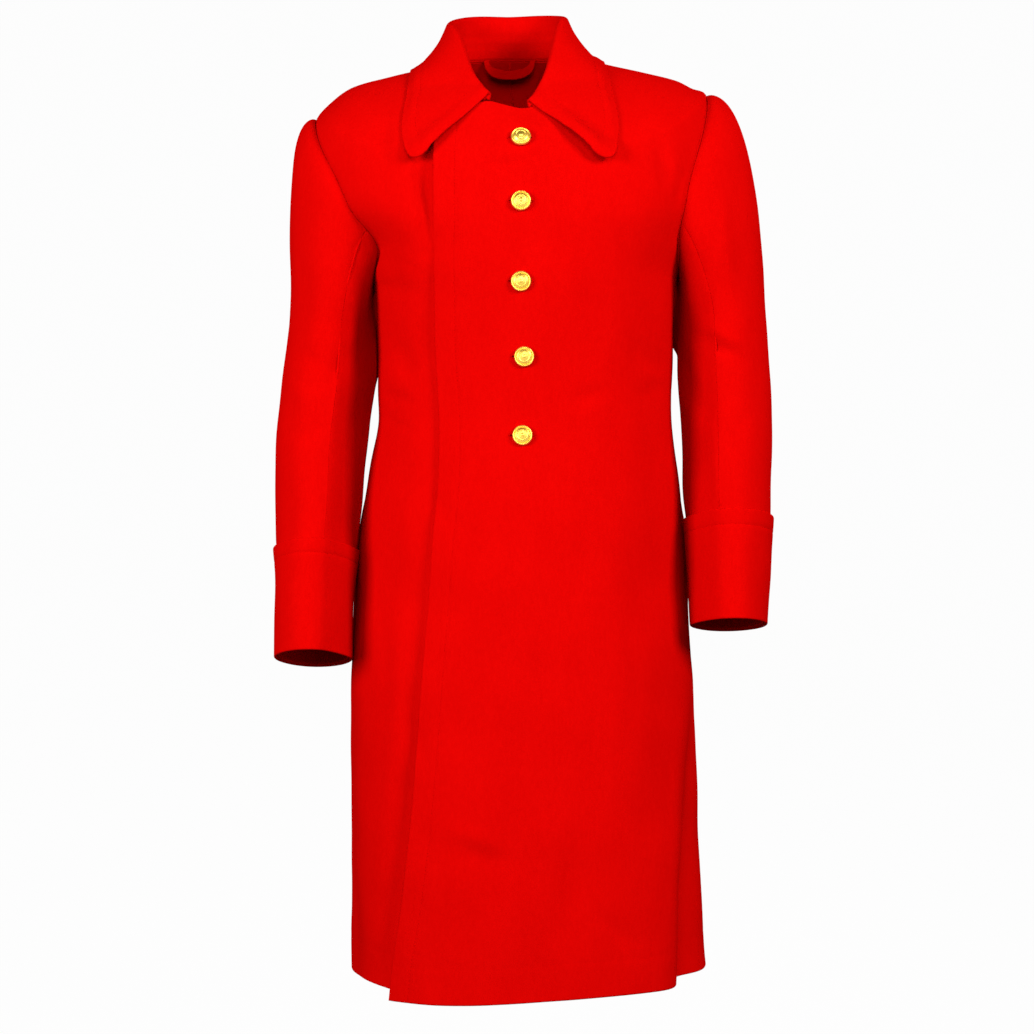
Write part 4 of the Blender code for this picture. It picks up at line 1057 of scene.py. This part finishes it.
share = np.linspace(-1, 1, 221)
share = np.concatenate([[-1, -0.9985, -0.996, -0.992], share[1:-1], [0.992, 0.996, 0.9985, 1]])
part = np.concatenate([
    np.linspace(-1, 0, 16)[:-1], np.linspace(0, 1, 15)[:-1],
    1 + spaced(0.09, 0.0025, (0, 0.0025), FREE_EDGE) / 0.09,
])
points = collar(share[None, :], part[:, None])
across = run_along(points, 1)
for i in np.flatnonzero(part > 0.55):
    for j in range(len(share)):
        near, normal, _, _ = under_tree.find_nearest(Vector(points[i, j]))
        stand_off = LEAF_LIFT["right"] * ease(1 - across[i, j] / 0.03)
        stand_off += LEAF_LIFT["left"] * ease(1 - (across[i, -1] - across[i, j]) / 0.03)
        stand_off *= ease((part[i] - 1.15) / 0.55)
        clearance = COLLAR_CLEARANCE * (1 - 0.75 * ease((part[i] - 1.7) / 0.25))
        lift = COLLAR_CLOTH / 2 + clearance + stand_off - (Vector(points[i, j]) - near).dot(normal)
        if lift > 0:
            points[i, j] += np.array(normal) * lift * ease((part[i] - 0.55) / 0.45)
normals = unit(np.cross(np.gradient(points, axis=1), np.gradient(points, axis=0)))
right_side = points + normals * COLLAR_CLOTH / 2
along, across = run_along(right_side, 0), run_along(right_side, 1)
from_outer = along[-1] - along
from_front = np.minimum(across, across[:, -1:] - across)
on_fall = part[:, None] > 1.02
inside = np.minimum(from_outer, np.where(on_fall, from_front, 1.0))
stand_line = -0.0012 * (bell(part[:, None] + 0.42, 0.05) + 0.7 * bell(part[:, None] + 0.66, 0.05))
stand_line = stand_line * (part[:, None] < 0)
relief = -0.0006 * bell(inside - COLLAR_LINE, 0.0018) * on_fall + stand_line
relief = relief + 0.0005 * bell(inside - 0.010, 0.006) * on_fall
thinned = 0.0018 * bell(inside, 0.007) * on_fall
right_side = right_side + normals * (relief - thinned)[..., None]
collar_piece = shell(
    "Collar", right_side, normals, COLLAR_CLOTH - thinned, free=["last_row", "first_column", "last_column"],
)
outer_rows = np.array([np.argmin(np.abs(from_outer[:, j] - COLLAR_LINE)) for j in range(len(share))])
paths = []
keep = [j for j in range(len(share)) if from_front[outer_rows[j], j] > COLLAR_LINE]
line_points = np.array([
    [np.interp(-COLLAR_LINE, -from_outer[:, j], right_side[:, j, k]) for k in range(3)] for j in keep
])
paths.append((line_points, normals[outer_rows[keep], keep]))
for first in (True, False):
    rows, found, ways = [], [], []
    for i in np.flatnonzero(part > 1.1):
        distance = across[i] if first else across[i, -1] - across[i]
        order = slice(0, 110) if first else slice(-1, -111, -1)
        place = [np.interp(COLLAR_LINE, distance[order], right_side[i, order, k]) for k in range(3)]
        j = np.argmin(np.abs(distance[order] - COLLAR_LINE))
        j = j if first else len(share) - 1 - j
        if from_outer[i, j] > COLLAR_LINE:
            found.append(place)
            ways.append(normals[i, j])
    paths.append((np.array(found), np.array(ways)))
collar_stitches = stitches("Collar_stitches", paths)
neck_angles = np.linspace(16, 344, 165)
neck_seam = body(neck_angles, np.full(neck_angles.shape, NECK)) + np.array([0, 0, 0.0007])
neck_allowance = seam_allowances("Neck_seam_allowance", [(neck_seam, -heading(neck_angles))], 0.0004, 0.0017)
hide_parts("collar")

# Hanger loop: a folded tape of the same cloth, cut to a crescent and sewn to the stand at the
# back of the neck, where it hangs a little away from the cloth.
LOOP_OUTER, LOOP_INNER, LOOP_SQUARE = (0.036, 0.0240), (0.0280, 0.0128), 0.85
LOOP_SEWN, LOOP_TAPE = 0.0008, 0.0015
turn = np.linspace(0, pi, 61)[None, :]
share = (spaced(1.0, 0.12, (0, 0.03, 0.08), (0, 0.03, 0.08)))[:, None]
half_width = LOOP_OUTER[0] + (LOOP_INNER[0] - LOOP_OUTER[0]) * share
depth = LOOP_OUTER[1] + (LOOP_INNER[1] - LOOP_OUTER[1]) * share
x = -half_width * np.sign(np.cos(turn)) * np.abs(np.cos(turn)) ** LOOP_SQUARE
drop = depth * np.sin(turn) ** LOOP_SQUARE
angle = 180 - np.degrees(np.arctan2(x, 0.072))
out = heading(angle)
points = body(angle, np.full(angle.shape, NECK)) - out * (COLLAR_CLOTH + 0.0004 + LOOP_TAPE)
points = points + np.array([0, 0, 1.0]) * (LOOP_SEWN - drop)[..., None]
points = points - out * (0.0022 * np.sin(turn) * np.ones(share.shape))[..., None]
normals = np.broadcast_to(-out, points.shape)
normals = unit(normals + np.array([0, 0, 0.25]) * (0.5 - share)[..., None])
loop = shell("Hanger_loop", points, normals, LOOP_TAPE, free=["first_row", "last_row"])
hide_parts("hanger_loop")

# Buttons: gilt domes turned with a raised rim, a groove, a fine ring and a small boss, each on a
# shank that passes through its slit. The real ones have a crest, which isn't copied.
BUTTON_RADIUS, BUTTON_LIFT, BUTTON_STEPS = 0.0114, 0.0012, 64
BUTTON_PROFILE = (
    # radius as a share of the button's, height over its back
    (0.0, 0.0065), (0.07, 0.00645), (0.13, 0.0062), (0.17, 0.0058), (0.19, 0.00555), (0.22, 0.0055),
    (0.32, 0.0054), (0.42, 0.0051), (0.46, 0.0049), (0.49, 0.0053), (0.52, 0.0055), (0.55, 0.0053),
    (0.58, 0.0047), (0.66, 0.0043), (0.72, 0.0038), (0.76, 0.0031), (0.79, 0.0027), (0.81, 0.0028),
    (0.84, 0.0034), (0.88, 0.0037), (0.91, 0.0036), (0.94, 0.0032), (0.965, 0.0026), (0.985, 0.0019),
    (1.0, 0.0010), (0.995, 0.0004), (0.96, 0.0001), (0.90, 0.0), (0.70, -0.0001), (0.5, -0.0002),
    (0.12, -0.0002), (0.105, -0.0006), (0.105, -0.0043), (0.0, -0.0043),
)
gilt = bpy.data.materials.new("Gilt_brass")
gilt.use_nodes = True
tree = gilt.node_tree
gilt_shader = tree.nodes["Principled BSDF"]
gilt_shader.inputs["Metallic"].default_value = 1.0
gilt_ramp = tree.nodes.new("ShaderNodeValToRGB")
gilt_ramp.color_ramp.elements[0].position = 0.35
gilt_ramp.color_ramp.elements[0].color = (0.76, 0.50, 0.07, 1)
gilt_ramp.color_ramp.elements[1].position = 0.65
gilt_ramp.color_ramp.elements[1].color = (0.86, 0.60, 0.11, 1)
place = tree.nodes.new("ShaderNodeTexCoord")
cloud = tree.nodes.new("ShaderNodeTexNoise")
cloud.inputs["Scale"].default_value = 90
cloud.inputs["Detail"].default_value = 3
rough = tree.nodes.new("ShaderNodeMapRange")
rough.inputs["To Min"].default_value = 0.40
rough.inputs["To Max"].default_value = 0.46
scuffs = tree.nodes.new("ShaderNodeTexNoise")
scuffs.inputs["Scale"].default_value = 1500
bump = tree.nodes.new("ShaderNodeBump")
bump.inputs["Strength"].default_value = 0.02
bump.inputs["Distance"].default_value = 0.0001
tree.links.new(place.outputs["Object"], cloud.inputs["Vector"])
tree.links.new(place.outputs["Object"], scuffs.inputs["Vector"])
tree.links.new(cloud.outputs["Fac"], gilt_ramp.inputs["Fac"])
tree.links.new(gilt_ramp.outputs["Color"], gilt_shader.inputs["Base Color"])
tree.links.new(cloud.outputs["Fac"], rough.inputs["Value"])
tree.links.new(rough.outputs["Result"], gilt_shader.inputs["Roughness"])
tree.links.new(scuffs.outputs["Fac"], bump.inputs["Height"])
tree.links.new(bump.outputs["Normal"], gilt_shader.inputs["Normal"])
radii, heights = np.array(BUTTON_PROFILE).T
around = 2 * pi * np.arange(BUTTON_STEPS) / BUTTON_STEPS
for number, (point, normal) in enumerate(button_seats, start=1):
    beside = unit(np.cross([0, 0, 1.0], normal))
    above = np.cross(normal, beside)
    spokes = np.cos(around)[:, None] * beside + np.sin(around)[:, None] * above
    seat = point + normal * BUTTON_LIFT
    verts = [seat + normal * heights[0]]
    for radius, height in zip(radii[1:-1], heights[1:-1]):
        verts.extend(seat + spokes * radius * BUTTON_RADIUS + normal * height)
    verts.append(seat + normal * heights[-1])
    faces = []
    for k in range(BUTTON_STEPS):
        after = (k + 1) % BUTTON_STEPS
        faces.append([0, 1 + k, 1 + after])
        for i in range(len(radii) - 3):
            a = 1 + i * BUTTON_STEPS
            b = a + BUTTON_STEPS
            faces.append([a + k, b + k, b + after, a + after])
        a = 1 + (len(radii) - 3) * BUTTON_STEPS
        faces.append([a + after, a + k, len(verts) - 1])
    mesh = bpy.data.meshes.new(f"Button_{number}")
    mesh.from_pydata([list(v) for v in verts], [], faces)
    mesh.shade_smooth()
    mesh.materials.append(gilt)
    button = bpy.data.objects.new(f"Button_{number}", mesh)
    bpy.context.scene.collection.objects.link(button)
    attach(button, "root")
    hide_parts(f"button_{number}")
